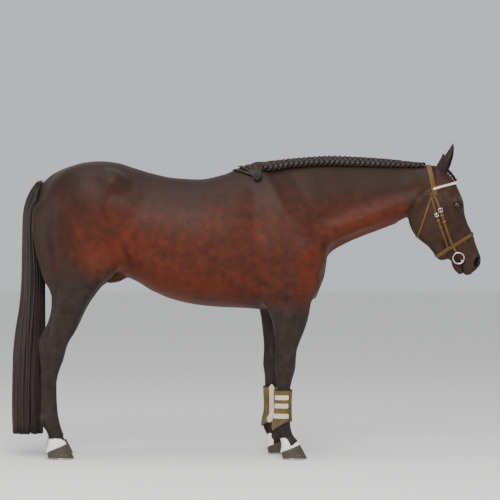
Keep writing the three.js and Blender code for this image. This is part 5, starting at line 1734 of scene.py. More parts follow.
def growth(p: Array, normal: Array) -> Growth:
    """Returns the coat's growth, which stands out where the body turns under and behind the fetlocks."""
    x, y, z = p.T
    along, front = in_head(x, z)
    head = on_head(x, along)
    fore = x > BETWEEN_LEGS
    hoof = over_hoof(as_right(x, z, y > 0), z, fore)
    rows = np.array([np.full(len(p), v) for v in (0.0, 14.0, 1.2, 0.8)])

    def where(here: Array, *values: float) -> None:
        """Sets density, length, half width and stand in some places."""
        rows[:, here] = np.array(values)[:, None]

    where((normal[:, 2] > 0.85) & (x < 60), 0.8, 13.0, 1.2, 0.7)  # back and croup
    where((normal[:, 0] < -0.7) & (z > 760), 2.0, 15.0, 1.2, 0.9)  # buttocks
    where((normal[:, 0] > 0.72) & (z > 850), 2.0, 17.0, 1.3, 1.1)  # breast
    where((normal[:, 2] < -0.4) & (z > 780), 3.0, 22.0, 1.6, 1.7)  # belly
    where((x > 380) & (x < 960) & (normal[:, 2] < -0.4), 3.0, 15.0, 1.3, 1.4)  # under the neck
    where(np.hypot(x - 95, z - 930) < 60, 4.0, 20.0, 1.5, 2.2)  # elbow
    where((z < 760) & (normal[:, 0] < 0.1), 1.0, 11.0, 1.1, 0.7)
    where((z < 700) & (normal[:, 0] < -0.55), 5.0, 13.0, 1.2, 1.3)  # backs of the legs
    where((z > 135) & (z < 245) & (normal[:, 0] < -0.3), 22.0, 25.0, 1.3, 4.5)  # fetlocks
    where((hoof < 12) & (z < 140), 22.0, 12.0, 1.1, 1.6)  # over the hooves
    where(head, 0.0, 8.0, 1.0, 0.6)
    jaw = head & (normal[:, 0] * COS + normal[:, 2] * SIN < -0.5) & (front < -45)
    where(jaw, 5.0, 11.0, 1.1, 1.0)
    for ear in EARS:
        t, w, o = ear.local(p)
        where((t > 0.02) & (np.hypot(w, o) < 42), 7.0, 7.0, 0.7, 0.5)
    density, length, half_width, stand = rows
    u, v, _ = EYE.local(p)
    reach = NOSTRIL.reach(p)
    lips = Crease(MOUTH_LINE, 7.0, 1.0).amount(along, front)
    bare = head & ((EYE.gap(u, v) < 3.0) | ((reach < 1.15) & (np.abs(y) > 14)) | (lips > 0.5))
    booted = fore & (z > 172) & (z < 388)
    buried = (z < 140) & (hoof < 3.0)
    return Growth(density * ~(bare | booted | buried), length, half_width, stand)


class Tufts:
    """Short tufts of the coat where it breaks the form: thin, overlapping and lying along the skin."""

    counts = {"body": 19000, "legs": 18000, "head": 6000}
    steps = ((0.0, 0.6), (0.45, 1.0), (1.0, 0.0))  # place along a tuft, and part of its width there
    faces = np.array([
        [2, 1, 0], [0, 1, 4], [0, 4, 3], [1, 2, 5], [1, 5, 4],
        [2, 0, 3], [2, 3, 5], [3, 4, 6], [4, 5, 6], [5, 3, 6],
    ])
    corners = np.array([[-1, -1], [0, -1], [1, -1], [-1, 0], [0, 0], [1, 0], [0, 1]])  # on the unwrap
    patch = 0.0015  # half of a tuft's size on the unwrap

    def __init__(self, skin: Skin, material: bpy.types.Material) -> None:
        self.skin, self.material = skin, material

    def build(self) -> None:
        """Makes the tufts of each part of the body."""
        corners = self.skin.points[self.skin.triangles]
        middle = corners.mean(1)
        along, _ = in_head(middle[:, 0], middle[:, 2])
        head = on_head(middle[:, 0], along)
        legs = middle[:, 2] < 780
        for name, here in (("body", ~head & ~legs), ("legs", ~head & legs), ("head", head)):
            self._piece(name, self.skin.triangles[here])

    def _piece(self, part: str, triangles: Array) -> None:
        """Makes one part's tufts, with the skin's markings and their places on its unwrap."""
        root, normal = self._roots(triangles, self.counts[part])
        grown = growth(root, normal)
        way = lie(root, normal)
        dice = np.random.default_rng(11)
        way = unit(way + np.cross(normal, way) * dice.normal(0.0, 0.16, (len(root), 1)))
        length = (grown.length * dice.uniform(0.75, 1.2, len(root)))[:, None]
        wide = grown.half_width[:, None]
        stand = (grown.stand * dice.uniform(0.5, 1.2, len(root)))[:, None]
        level = skin_form(*root.T)
        rings = []
        for t, part_wide in self.steps:
            middle = root + way * length * t
            if t:
                rise = skin_form(*middle.T) - level
                middle = middle - slope_of(skin_form, middle, 1.5) * rise[:, None]
            middle = middle + normal * (stand * t ** 1.5 - 0.3 * (1.0 - t))
            across = np.cross(normal, way) * wide * part_wide
            top = middle + normal * 0.16 * wide * (1.0 - t)
            rings.append((middle + across, top, middle - across))
        points = np.stack([*rings[0], *rings[1], rings[2][1]], 1)
        each = len(self.corners)
        tufts = (np.arange(len(root)) * each)[:, None, None] + self.faces
        piece = mesh_piece(f"coat_tufts_{part}", points.reshape(-1, 3), tufts.reshape(-1, 3), self.material)
        # A tuft is shaded as the skin under it, tilted a little to each side.
        tilt = 0.3 * self.corners[:, :1] * np.cross(way, normal)[:, None]
        piece.data.normals_split_custom_set_from_vertices(unit(normal[:, None] + tilt).reshape(-1, 3))
        paint_markings(piece, markings(root, normal), each)
        patches = unwrapped(root)[:, None] + self.corners * self.patch
        keep_uv(piece, "OFBake", patches[:, self.faces.ravel()])
        keep(piece, "coat")

    def _roots(self, triangles: Array, count: int) -> tuple[Array, Array]:
        """Returns places sown over some of the skin's triangles, and its normals there."""
        corners = self.skin.points[triangles]
        area = np.linalg.norm(np.cross(corners[:, 1] - corners[:, 0], corners[:, 2] - corners[:, 0]), axis=1)
        middle, normal = corners.mean(1), self.skin.normal[triangles].mean(1)
        sown = np.cumsum(area * growth(middle, unit(normal)).density)
        dice = np.random.default_rng(5)
        at = (np.arange(count) + dice.uniform(0, 1, count)) / count * sown[-1]
        chosen = np.minimum(np.searchsorted(sown, at), len(sown) - 1)
        a, b = np.sqrt(dice.uniform(0, 1, (count, 1))), dice.uniform(0, 1, (count, 1))
        weight = np.stack([1 - a, a * (1 - b), a * b], 1)
        root = (corners[chosen] * weight).sum(1)
        return root, unit((self.skin.normal[triangles[chosen]] * weight).sum(1))


class Chestnuts:
    """The horny grey ovals on the insides of the legs."""

    places = (("fore", 205.0, 592.0, 9.0, 21.0), ("hind", -1088.0, 498.0, 6.5, 15.0))

    def build(self) -> None:
        """Makes the four as one piece."""
        n = Nodes("chestnut_horn")
        crust = n.noise(5, detail=5, rough=0.7)
        n.set(Base_Color=n.mix(crust, "#15110f", "#453b34"), Roughness=0.8)
        n.set(Normal=n.bump(crust, 1.2, 0.8))
        pieces = []
        for _, sign in SIDES:
            for end, x, z, half_x, half_z in self.places:
                lag = (FORE_LAG if end == "fore" else HIND_LAG)(np.array([z]))[0][0] if sign > 0 else 0.0
                pieces.append(self._oval(x - lag, z, half_x, half_z, sign))
        points, faces = merged(pieces)
        keep(mesh_piece("chestnuts", points, faces, n.material), "hoof")

    def _oval(self, x: float, z: float, half_x: float, half_z: float, sign: float) -> tuple[Array, list]:
        """Returns one oval, its rings running in from under the skin to the middle."""
        angle = sign * around_circle(28)
        inward = np.tile([0.0, -sign, 0.0], (len(angle), 1))
        rings = []
        for part, rise in ((1.0, -5.0), (1.0, -1.6), (0.9, 0.6), (0.68, 1.8), (0.4, 2.6), (0.08, 2.2)):
            ragged = part * (1.0 + 0.06 * np.sin(5 * angle) + 0.04 * np.sin(9 * angle + 1.0))
            across, up = x + half_x * ragged * np.cos(angle), z + half_z * ragged * np.sin(angle)
            centre = np.stack([across, np.full(len(angle), sign * LEG_SPREAD), up], 1)
            bumps = 0.5 * np.sin(7 * angle + 9 * part) * part
            rings.append(cast_out(centre, inward) + inward * (rise + bumps)[:, None])
        return swept(np.array(rings))


# ---------------------------------------------------------------- hair: plaits, knot, forelock and tail


def hair_material() -> bpy.types.Material:
    """Coarse dark hair of the mane and tail: strands along the lock, a little rusty from the sun."""
    n = Nodes("horse_hair")
    drawn_out = n.add("Mapping", {"Vector": n.add("UVMap", uv_map="Length"), "Scale": (9.0, 26.0, 1.0)})
    strand = n.add("TexNoise", {"Vector": drawn_out, "Scale": 1.0, "Detail": 4.0, "Roughness": 0.65})
    shade = n.curve(strand, [(0.3, "#110b09"), (0.52, "#241a16"), (0.75, "#3d2f28")])
    rusty = n.mix(n.curve(n.noise(90, detail=2), [(0.45, 0.0), (0.75, 0.5)]), shade, "#2c1f19")
    n.set(Base_Color=rusty, Roughness=0.46, Specular_IOR_Level=0.34, Anisotropic=0.4)
    n.set(Normal=n.bump(strand, 1.2, 0.8))
    return n.material


def lock(path: Array, broad: Array, wide, thick, sides: int = 6) -> Array:
    """Returns the rings of one lock of hair.

    Args:
        path: places along it (n, 3).
        broad: the way its broad side runs at each place.
        wide: half width at each place.
        thick: half thickness at each place.
        sides: corners of each ring.
    """
    ahead = unit(np.gradient(path, axis=0))
    across = unit(broad - ahead * (broad * ahead).sum(1, keepdims=True))
    out = np.cross(ahead, across)
    angle = around_circle(sides)
    wide, thick = np.broadcast_to(wide, len(path)), np.broadcast_to(thick, len(path))
    to_side = (wide[:, None] * np.cos(angle))[..., None] * across[:, None]
    to_face = (thick[:, None] * np.sin(angle))[..., None] * out[:, None]
    return path[:, None] + to_side + to_face


class Locks:
    """Many locks of hair gathered into one piece."""

    def __init__(self, name: str, material: bpy.types.Material) -> None:
        self.name, self.material = name, material
        self.rings: list[Array] = []

    def add(self, *rings: Array) -> None:
        """Adds the rings of one lock, or of several."""
        self.rings.extend(rings)

    def build(self, *nodes: str) -> None:
        """Makes the piece, with a UV map along the hair and one that gives each lock a cell of its own."""
        points, faces, uv, cell = [], [], [], []
        start, side = 0, math.ceil(math.sqrt(len(self.rings)))
        for k, rings in enumerate(self.rings):
            count, size = rings.shape[:2]
            p, f = swept(rings)
            points.append(p)
            faces += [[i + start for i in face] for face in f]
            start += len(p)
            step = np.linalg.norm(np.diff(rings.mean(1), axis=0), axis=1) * MM
            at = np.concatenate([[0.0], np.cumsum(step)])
            shift = (k * 0.37) % 7.0
            column, row = k % side, k // side
            for face in f:
                closing = len(face) != 4 or max(face) - min(face) < size
                low = min(face) // size
                for j, i in enumerate(face):
                    r, c = divmod(i, size)
                    c = c if c or closing or j in (0, 3) else size
                    uv.append((at[r] + shift, c / size + shift))
                    u = (column + 0.08 + 0.84 * c / size) / side
                    v = (row + 0.06 + 0.88 * r / (count - 1)) / side
                    if closing:
                        u = (column + 0.5 + 0.3 * math.cos(6.283 * c / size)) / side
                        v = (row + (0.02 if low == 0 else 0.98) + 0.008 * math.sin(6.283 * c / size)) / side
                    cell.append((u, v))
        piece = mesh_piece(self.name, np.concatenate(points), faces, self.material)
        keep_uv(piece, "OFBake", cell)
        keep_uv(piece, "Length", uv)
        keep(piece, "hair", *nodes)


def braid(
    path: Array, wide_way: Array, out_way: Array, half: Array, thick: Array,
    turns: float, steps: int, phase: float = 0.0,
) -> list[Array]:
    """A plait of three strands along a path.

    Args:
        path: its middle line (n, 3).
        wide_way: the way its broad side runs.
        out_way: the way its face looks.
        half: half width at each place.
        thick: half thickness at each place.
        turns: whole turns of the pattern.
        steps: places along each strand.
        phase: where the pattern starts.
    Returns:
        The rings of each strand.
    """
    at = np.linspace(0, 1, steps + 1)
    old = np.linspace(0, 1, len(path))

    def fit(values: Array) -> Array:
        """Returns values given along the path at the strands' steps."""
        if values.ndim == 1:
            return np.interp(at, old, values)
        return np.stack([np.interp(at, old, values[:, k]) for k in range(3)], 1)

    middle, wide, out = fit(path), unit(fit(wide_way)), unit(fit(out_way))
    half, thick = fit(half), fit(thick)
    strands = []
    for k in range(3):
        angle = 2 * math.pi * (at * turns + k / 3.0) + phase
        across = np.sin(angle) * half * 0.56
        up = np.sin(2 * angle) * thick * 0.5
        line = middle + wide * across[:, None] + out * up[:, None]
        ends = np.minimum(1.0, np.minimum(at, 1 - at) * 18 + 0.35)
        strands.append(lock(line, wide, half * 0.46 * ends, thick * 0.62 * ends, 8))
    return strands


PLAIT = through([  # x: height of its middle, half height, half thickness
    [96, 1632, 36, 16], [246, 1652, 34, 15], [466, 1667, 33, 14],
    [607, 1663, 31, 13], [805, 1654, 26, 12], [985, 1644, 18, 10],
])
TAIL = through([  # minus height: rear, front, half width
    [-1530, -1196, -1120, 26], [-1500, -1225, -1140, 36], [-1360, -1262, -1165, 56],
    [-1120, -1268, -1150, 66], [-980, -1272, -1140, 70], [-840, -1284, -1140, 72],
    [-700, -1306, -1138, 74], [-540, -1319, -1142, 76], [-260, -1322, -1148, 74],
    [-136, -1320, -1150, 70], [-120, -1320, -1150, 70],
])


@dataclass(frozen=True)
class Spiral:
    """The middle line of hair wound round a way out from its seat, flattened to fit its place."""

    seat: Array
    out: Array
    first: Array
    second: Array
    stretch: tuple[float, float]

    def wound(self, angle: Array, radius: Array, lift: Array) -> tuple[Array, Array]:
        """Returns the places at angles, and the way from the spiral's axis to each."""
        a, b = np.cos(angle) * radius * self.stretch[0], np.sin(angle) * radius * self.stretch[1]
        path = self.seat + self.out * lift[:, None] + self.first * a[:, None] + self.second * b[:, None]
        arm = path - self.seat
        return path, unit(arm - self.out * (arm @ self.out)[:, None])


class Mane:
    """The plaited mane: a plait along the crest, a fan over the withers tied in a knot, and a forelock."""

    knot = (62.0, 1566.0)  # x, height
    fan = ((-70, 1612, 9), (-38, 1632, 10), (2, 1638, 11), (44, 1634, 11), (84, 1618, 10))

    def __init__(self, material: bpy.types.Material) -> None:
        self.material = material
        self.random = np.random.default_rng(7)

    def build(self) -> None:
        """Makes the plait, the knot and the forelock."""
        self._crest()
        self._knot()
        self._forelock()

    def _seat(self, x: Array, z: Array, lift: Array) -> tuple[Array, Array, Array]:
        """Returns middles on the right of the crest, with the ways out and up there."""
        out = np.zeros((len(x), 3))
        right = np.tile([0.0, -1.0, 0.0], (len(x), 1))
        for _ in range(3):
            start = np.stack([x, np.zeros(len(x)), z - out[:, 2] * lift], 1)
            seat = cast_out(start, right)
            out = unit(slope_of(body_distance, seat, 2.0) * [0, 1, 1])
        up = np.stack([0 * x, out[:, 2], -out[:, 1]], 1)
        middle = seat + out * lift[:, None]
        middle[:, 0] = x
        return middle, out, up

    def _crest(self) -> None:
        """Makes the running plait, with the hair drawn into it and loose hairs over it."""
        x = np.linspace(1000, 92, 160)
        z, tall, thick = PLAIT(x)
        middle, out, up = self._seat(x, z, thick * 0.72)
        locks = Locks("mane_running_plait", self.material)
        locks.add(*braid(middle, up, out, tall * 1.12, thick * 1.1, 10.5, 420))
        for i in range(44):
            locks.add(self._drawn_in(985 - i * 20.2 + self.random.uniform(-3, 3)))
        for _ in range(90):
            locks.add(self._loose_hair(self.random.uniform(110, 985)))
        locks.build("mane_plait")

    def _drawn_in(self, at: float) -> Array:
        """Returns a lock of hair drawn in from the crest to a turn of the plait."""
        x = np.array([at + 16, at + 11, at + 3, at - 5])
        z, tall, thick = PLAIT(x)
        mid, out, up = self._seat(x, z, thick * 0.72)
        top = onto(body_distance, np.array([[at + 20.0, 8.0, 1668.0]]), 0.0, 6)[0]
        over = top * 0.5 + 0.5 * (mid[1] + up[1] * tall[1] * 1.05) + out[1] * 3 + [0, 0, 3]
        face = mid[2] + up[2] * tall[2] * 0.8 + out[2] * thick[2] * 0.7
        end = mid[3] + up[3] * tall[3] * 0.2 + out[3] * thick[3] * 0.75
        path = spaced(np.stack([top, over, face, end]), 14)
        t = np.linspace(0, 1, 15)
        wide = 8.5 * np.sin(math.pi * np.clip(t * 0.75 + 0.2, 0, 1)) ** 0.6
        return lock(path, np.tile([1.0, 0.0, 0.15], (15, 1)), wide, 2.6 * (1 - 0.6 * t))

    def _loose_hair(self, at: float) -> Array:
        """Returns one loose hair over the plait."""
        dice = self.random.uniform
        z, tall, thick = PLAIT(np.array([at]))
        mid, out, up = self._seat(np.array([at]), z, thick * 0.9)
        root = mid[0] + up[0] * tall[0] * dice(0.2, 0.9) + out[0] * 6
        way = unit(np.array([-dice(0.6, 1.0), dice(-0.3, 0.3), dice(-0.2, 0.35)]))
        length = dice(14, 34)
        t = np.linspace(0, 1, 6)[:, None]
        path = root + way * t * length + np.array([0, 0, 1.0]) * (t * (1 - t)) * dice(2, 9)
        taper = 1.05 - t[:, 0]
        return lock(path, np.tile([0.0, 0.2, 1.0], (6, 1)), 0.5 * taper, 0.4 * taper, 4)

    def _knot(self) -> None:
        """Makes the fan of hair over the withers, the knot that it is tied in, and the knot's thread."""
        locks = Locks("mane_tied_knot", self.material)
        x0, z0 = self.knot
        right = np.array([[0.0, -1.0, 0.0]])
        seat = cast_out(np.array([[x0, 0.0, z0]]), right)[0]
        out = unit(slope_of(body_distance, seat[None], 2.0))[0]
        ahead = unit(np.array([1.0, 0.0, 0.0]) - out * out[0])
        up = np.cross(out, ahead)
        up = up if up[2] > 0 else -up
        for x, z, wide in self.fan:
            for k in range(6):
                locks.add(self._fan_lock(x, z, wide, k))
        angle = np.linspace(0.4, 0.4 + 2 * math.pi * 2.15, 120)
        spiral = Spiral(seat, out, ahead, up, (1.06, 0.94))
        path, away = spiral.wound(angle, np.linspace(20.5, 6.0, 120), np.linspace(9.0, 19.0, 120))
        half, thick = np.linspace(9.5, 8.0, 120), np.linspace(8.5, 7.5, 120)
        locks.add(*braid(path, away, np.tile(out, (120, 1)), half, thick, 8.0, 240))
        for turn in (0.5, 2.3, 4.2):  # the thread that ties it
            t = np.linspace(-1, 1, 20)[:, None]
            way = ahead * math.cos(turn) + up * math.sin(turn)
            thread = seat + out * (25 - 15 * t ** 2) + way * (t * 24)
            locks.add(lock(thread, np.tile(np.cross(out, way), (20, 1)), 1.0, 1.0))
        locks.build("mane_knot")

    def _fan_lock(self, x: float, z: float, wide: float, k: int) -> Array:
        """Returns one lock of the fan, from the crest at [x, z] to the knot."""
        x0, z0 = self.knot
        shift = (k - 2.5) * wide * 0.36
        t = np.linspace(0, 1, 22)
        xs = lerp(x + shift, x0 + shift * 0.5, t) + 3 * np.sin(t * 3 + k)
        zs = lerp(z + 4 + 0.25 * shift, z0 + 10 - 4 * (k % 3), t ** 1.1)
        path = cast_out(np.stack([xs, np.zeros(22), zs], 1), np.tile([0.0, -1.0, 0.0], (22, 1)))
        normal = unit(slope_of(body_distance, path, 2.0))
        lift = 1.0 + 4.5 * np.sin(math.pi * t) ** 0.6 + 5.0 * t ** 2 + (k % 2) * 1.4
        path = path + normal * lift[:, None]
        broad = np.cross(normal, unit(np.gradient(path, axis=0)))
        half = 4.4 * (0.45 + 0.55 * np.sin(math.pi * np.clip(0.1 + 0.62 * t, 0, 1)))
        return lock(path, broad, half, 2.4)

    def _forelock(self) -> None:
        """Makes the forelock, plaited and wound into a row of small buttons between the ears."""
        locks = Locks("forelock_buttons", self.material)
        side = np.array([0.0, -1.0, 0.0])
        for k in range(4):
            t = k / 3.0
            start = np.array([[lerp(1104, 1152, t), 0.0, lerp(1545, 1522, t)]])
            seat = cast_out(start, np.array([[0.5, 0.0, 0.87]]))[0]
            out = unit(slope_of(body_distance, seat[None], 2.0) * [1, 0, 1])[0]
            size = lerp(1.0, 0.86, t)
            along = np.array([out[2], 0.0, -out[0]])
            angle = np.linspace(k, k + 2 * math.pi * 1.7, 70)
            spiral = Spiral(seat, out, along, side, (1.0, 1.15))
            radius, lift = np.linspace(10.5, 3.0, 70) * size, np.linspace(5.0, 15.0, 70) * size
            path, away = spiral.wound(angle, radius, lift)
            half, thick = np.full(70, 6.6 * size), np.full(70, 5.6 * size)
            locks.add(*braid(path, away, np.tile(out, (70, 1)), half, thick, 5.0, 120, k))
            for j in range(5):  # hair drawn flat from between the ears into the button
                y = (j - 2) * 7.0
                foot = onto(body_distance, np.array([[seat[0] - 20, y * 1.5, seat[2] + 16]]), 1.0, 5)[0]
                end = seat + out * 8 * size + side * (-y * 0.35)
                middle = 0.5 * (foot + end) + out * 5
                flat = spaced(np.array([foot, middle, end]), 10)
                locks.add(lock(flat, np.tile(side, (11, 1)), 4.2, 1.8))
        locks.build("forelock")


class Tail:
    """The long full tail, its end cut straight across: locks over locks round a core."""

    end = 127.0
    count = 430

    def __init__(self, material: bpy.types.Material) -> None:
        self.material = material
        self.random = np.random.default_rng(11)

    def ring(self, z: Array, angle: Array, out: Array) -> Array:
        """Returns places in the tail at heights, angles and parts of the way out."""
        rear, front, half = TAIL(-z)
        middle, reach = 0.5 * (rear + front), 0.5 * (front - rear)
        return np.stack([middle + np.cos(angle) * reach * out, np.sin(angle) * half * out, z], 1)

    def build(self) -> None:
        """Makes the tail in two pieces: the outer locks, and the inner ones with the core."""
        core = Locks("tail_core", self.material)
        z = np.linspace(1520, self.end + 14, 60)
        rings = np.stack([self.ring(np.full(24, h), around_circle(24), np.full(24, 0.84)) for h in z])
        core.add(np.array([self._clear(r, 3.0) for r in rings])[:, ::-1])
        for _ in range(90):
            core.add(self._strand(self.random.uniform(0.25, 0.8)))
        core.build()
        outer = Locks("tail_hair", self.material)
        for _ in range(self.count):
            outer.add(self._strand(self.random.uniform(0.86, 1.0)))
        outer.build("tail")

    def _clear(self, p: Array, lift: float) -> Array:
        """Returns places moved out of the body."""
        for _ in range(3):
            d = body_distance(*p.T)
            move = np.maximum(lift - d, 0.0)
            if move.max() <= 0:
                break
            p = p + unit(slope_of(body_distance, p, 2.0)) * move[:, None]
        return p

    def _strand(self, out: float) -> Array:
        """Returns one lock of the tail, a part `out` of the way from its middle to its outside."""
        dice = self.random.uniform
        angle = dice(0, 2 * math.pi)
        top = 1562 - 340 * self.random.beta(1.0, 2.6) - (50 if math.cos(angle) > 0.3 else 0)
        end = self.end + abs(self.random.normal(0, 5.0))
        if out > 0.85 and self.random.random() < 0.08:
            end += dice(20, 260)
        count = 30
        t = np.linspace(0, 1, count)
        z = lerp(top, end, t)
        wave = dice(0.012, 0.05) * np.sin(t * dice(5, 12) + dice(0, 6))
        drift = dice(-0.25, 0.25) * t
        spread = out + 0.02 * np.sin(t * dice(4, 9) + dice(0, 6))
        root = np.clip(0.7 + t * 6, 0.0, 1.0)
        path = self._clear(self.ring(z, angle + wave + drift, spread * root), 2.0)
        middle = self.ring(z, np.zeros(count), np.zeros(count))
        outward = unit((path - middle) * [1, 1, 0] + [1e-4, 0, 0])
        broad = np.stack([-outward[:, 1], outward[:, 0], 0 * t], 1)
        size = dice(4.5, 9.0)
        wide = size * np.minimum(1.0, 0.25 + 6 * t) * np.minimum(1.0, 0.45 + 9 * (1 - t))
        return lock(path, broad, wide, wide * 0.34 + 0.3, 5)


# ---------------------------------------------------------------- eyes


class Eyes:
    """The eyeballs: brown iris, wide level pupil, wet clear front, and lashes on the upper lid."""

    def build(self) -> None:
        """Makes both eyes with their lashes."""
        material = self._material()
        lashes = Locks("eye_lashes", self._lash_material())
        for word, sign in SIDES:
            keep(self._ball(word, sign, material), "eye", f"eye_{word}")
            self._lashes(lashes, sign)
        lashes.build()

    def _material(self) -> bpy.types.Material:
        """Eye of a horse: dark brown iris with fine spokes, level oval pupil, bluish sheen, brown white."""
        n = Nodes("horse_eye")
        u, v = n.painted("along"), n.painted("up")
        reach = n.math("SQRT", n.plus(n.times(u, u), n.times(n.times(v, v), 1.35)))
        long, tall = n.math("DIVIDE", u, 9.0), n.math("DIVIDE", v, 4.4)
        pupil = n.math("SQRT", n.plus(n.math("POWER", long, 2.0), n.math("POWER", tall, 2.0)))
        round_it = n.times(n.math("ARCTAN2", v, u), 9.0)
        where = n.add("CombineXYZ", {"X": round_it, "Y": n.times(reach, 0.12)})
        spokes = n.add("TexNoise", {"Vector": where, "Scale": 1.0, "Detail": 3.0})
        iris = n.mix(spokes, "#231006", "#5f3413")
        part = n.math("DIVIDE", reach, 20.0)
        iris = n.shades(part, iris, "#170b06", [(0.55, 0.0), (0.86, 1.0)])
        colour = n.shades(n.times(pupil, 0.5), iris, "#05050a", [(0.44, 1.0), (0.54, 0.0)])
        colour = n.shades(part, colour, "#4a3a30", [(0.86, 0.0), (0.95, 1.0)])
        n.set(Base_Color=colour, Roughness=0.16, Specular_IOR_Level=0.4)
        n.set(Coat_Weight=0.4, Coat_Roughness=0.04)
        return n.material

    def _lash_material(self) -> bpy.types.Material:
        """Stiff black lashes."""
        n = Nodes("eye_lash")
        n.set(Base_Color=n.mix(n.noise(4), "#0b0808", "#1d1614"), Roughness=0.4)
        return n.material

    def _ball(self, word: str, sign: float, material: bpy.types.Material) -> bpy.types.Object:
        """Returns an eyeball whose clear front bulges a little, with its own coordinates kept on it."""
        bpy.ops.object.select_all(action="DESELECT")
        bpy.ops.mesh.primitive_uv_sphere_add(segments=64, ring_count=40, radius=1.0)
        piece = bpy.context.active_object
        piece.name = f"eyeball_{word}"
        p = np.array([v.co for v in piece.data.vertices])
        u, v, w = (p * EYE.radius).T
        bulge = 1.0 + 0.055 * ramp(0.72, 1.0, p[:, 2])
        world = EYE.world(u, v, w * bulge, sign)
        piece.data.vertices.foreach_set("co", (world * MM).astype(np.float32).ravel())
        if sign > 0:
            piece.data.flip_normals()
        piece.data.update()
        piece.data.polygons.foreach_set("use_smooth", np.ones(len(piece.data.polygons), bool))
        paint(piece, "along", u)
        paint(piece, "up", v)
        piece.data.materials.append(material)
        return piece

    def _lashes(self, lashes: Locks, sign: float) -> None:
        """Sets a row of lashes along the upper lid's edge."""
        steps = np.linspace(0, 1, 7)
        size = 0.42 * (1.08 - steps)
        for i in range(26):
            t = -0.86 + 1.6 * i / 25
            u, v = t * EYE.half_long, EYE.upper_lid(t) + 1.0
            w = math.sqrt(max((EYE.radius + EYE.lid - 0.6) ** 2 - u * u - v * v, 9.0))
            length = 9.5 + 3.0 * math.sin(i * 2.3)
            rise = length * (0.25 * steps - 0.55 * steps ** 2 + 0.30 * steps ** 3)
            reach = length * (0.95 * steps - 0.1 * steps ** 2)
            path = EYE.world(u + 3.0 * t * steps, v + rise, w + reach, sign)
            lashes.add(lock(path, np.tile([1.0, 0.0, 0.0], (7, 1)), size, size, 5))


# ---------------------------------------------------------------- boots


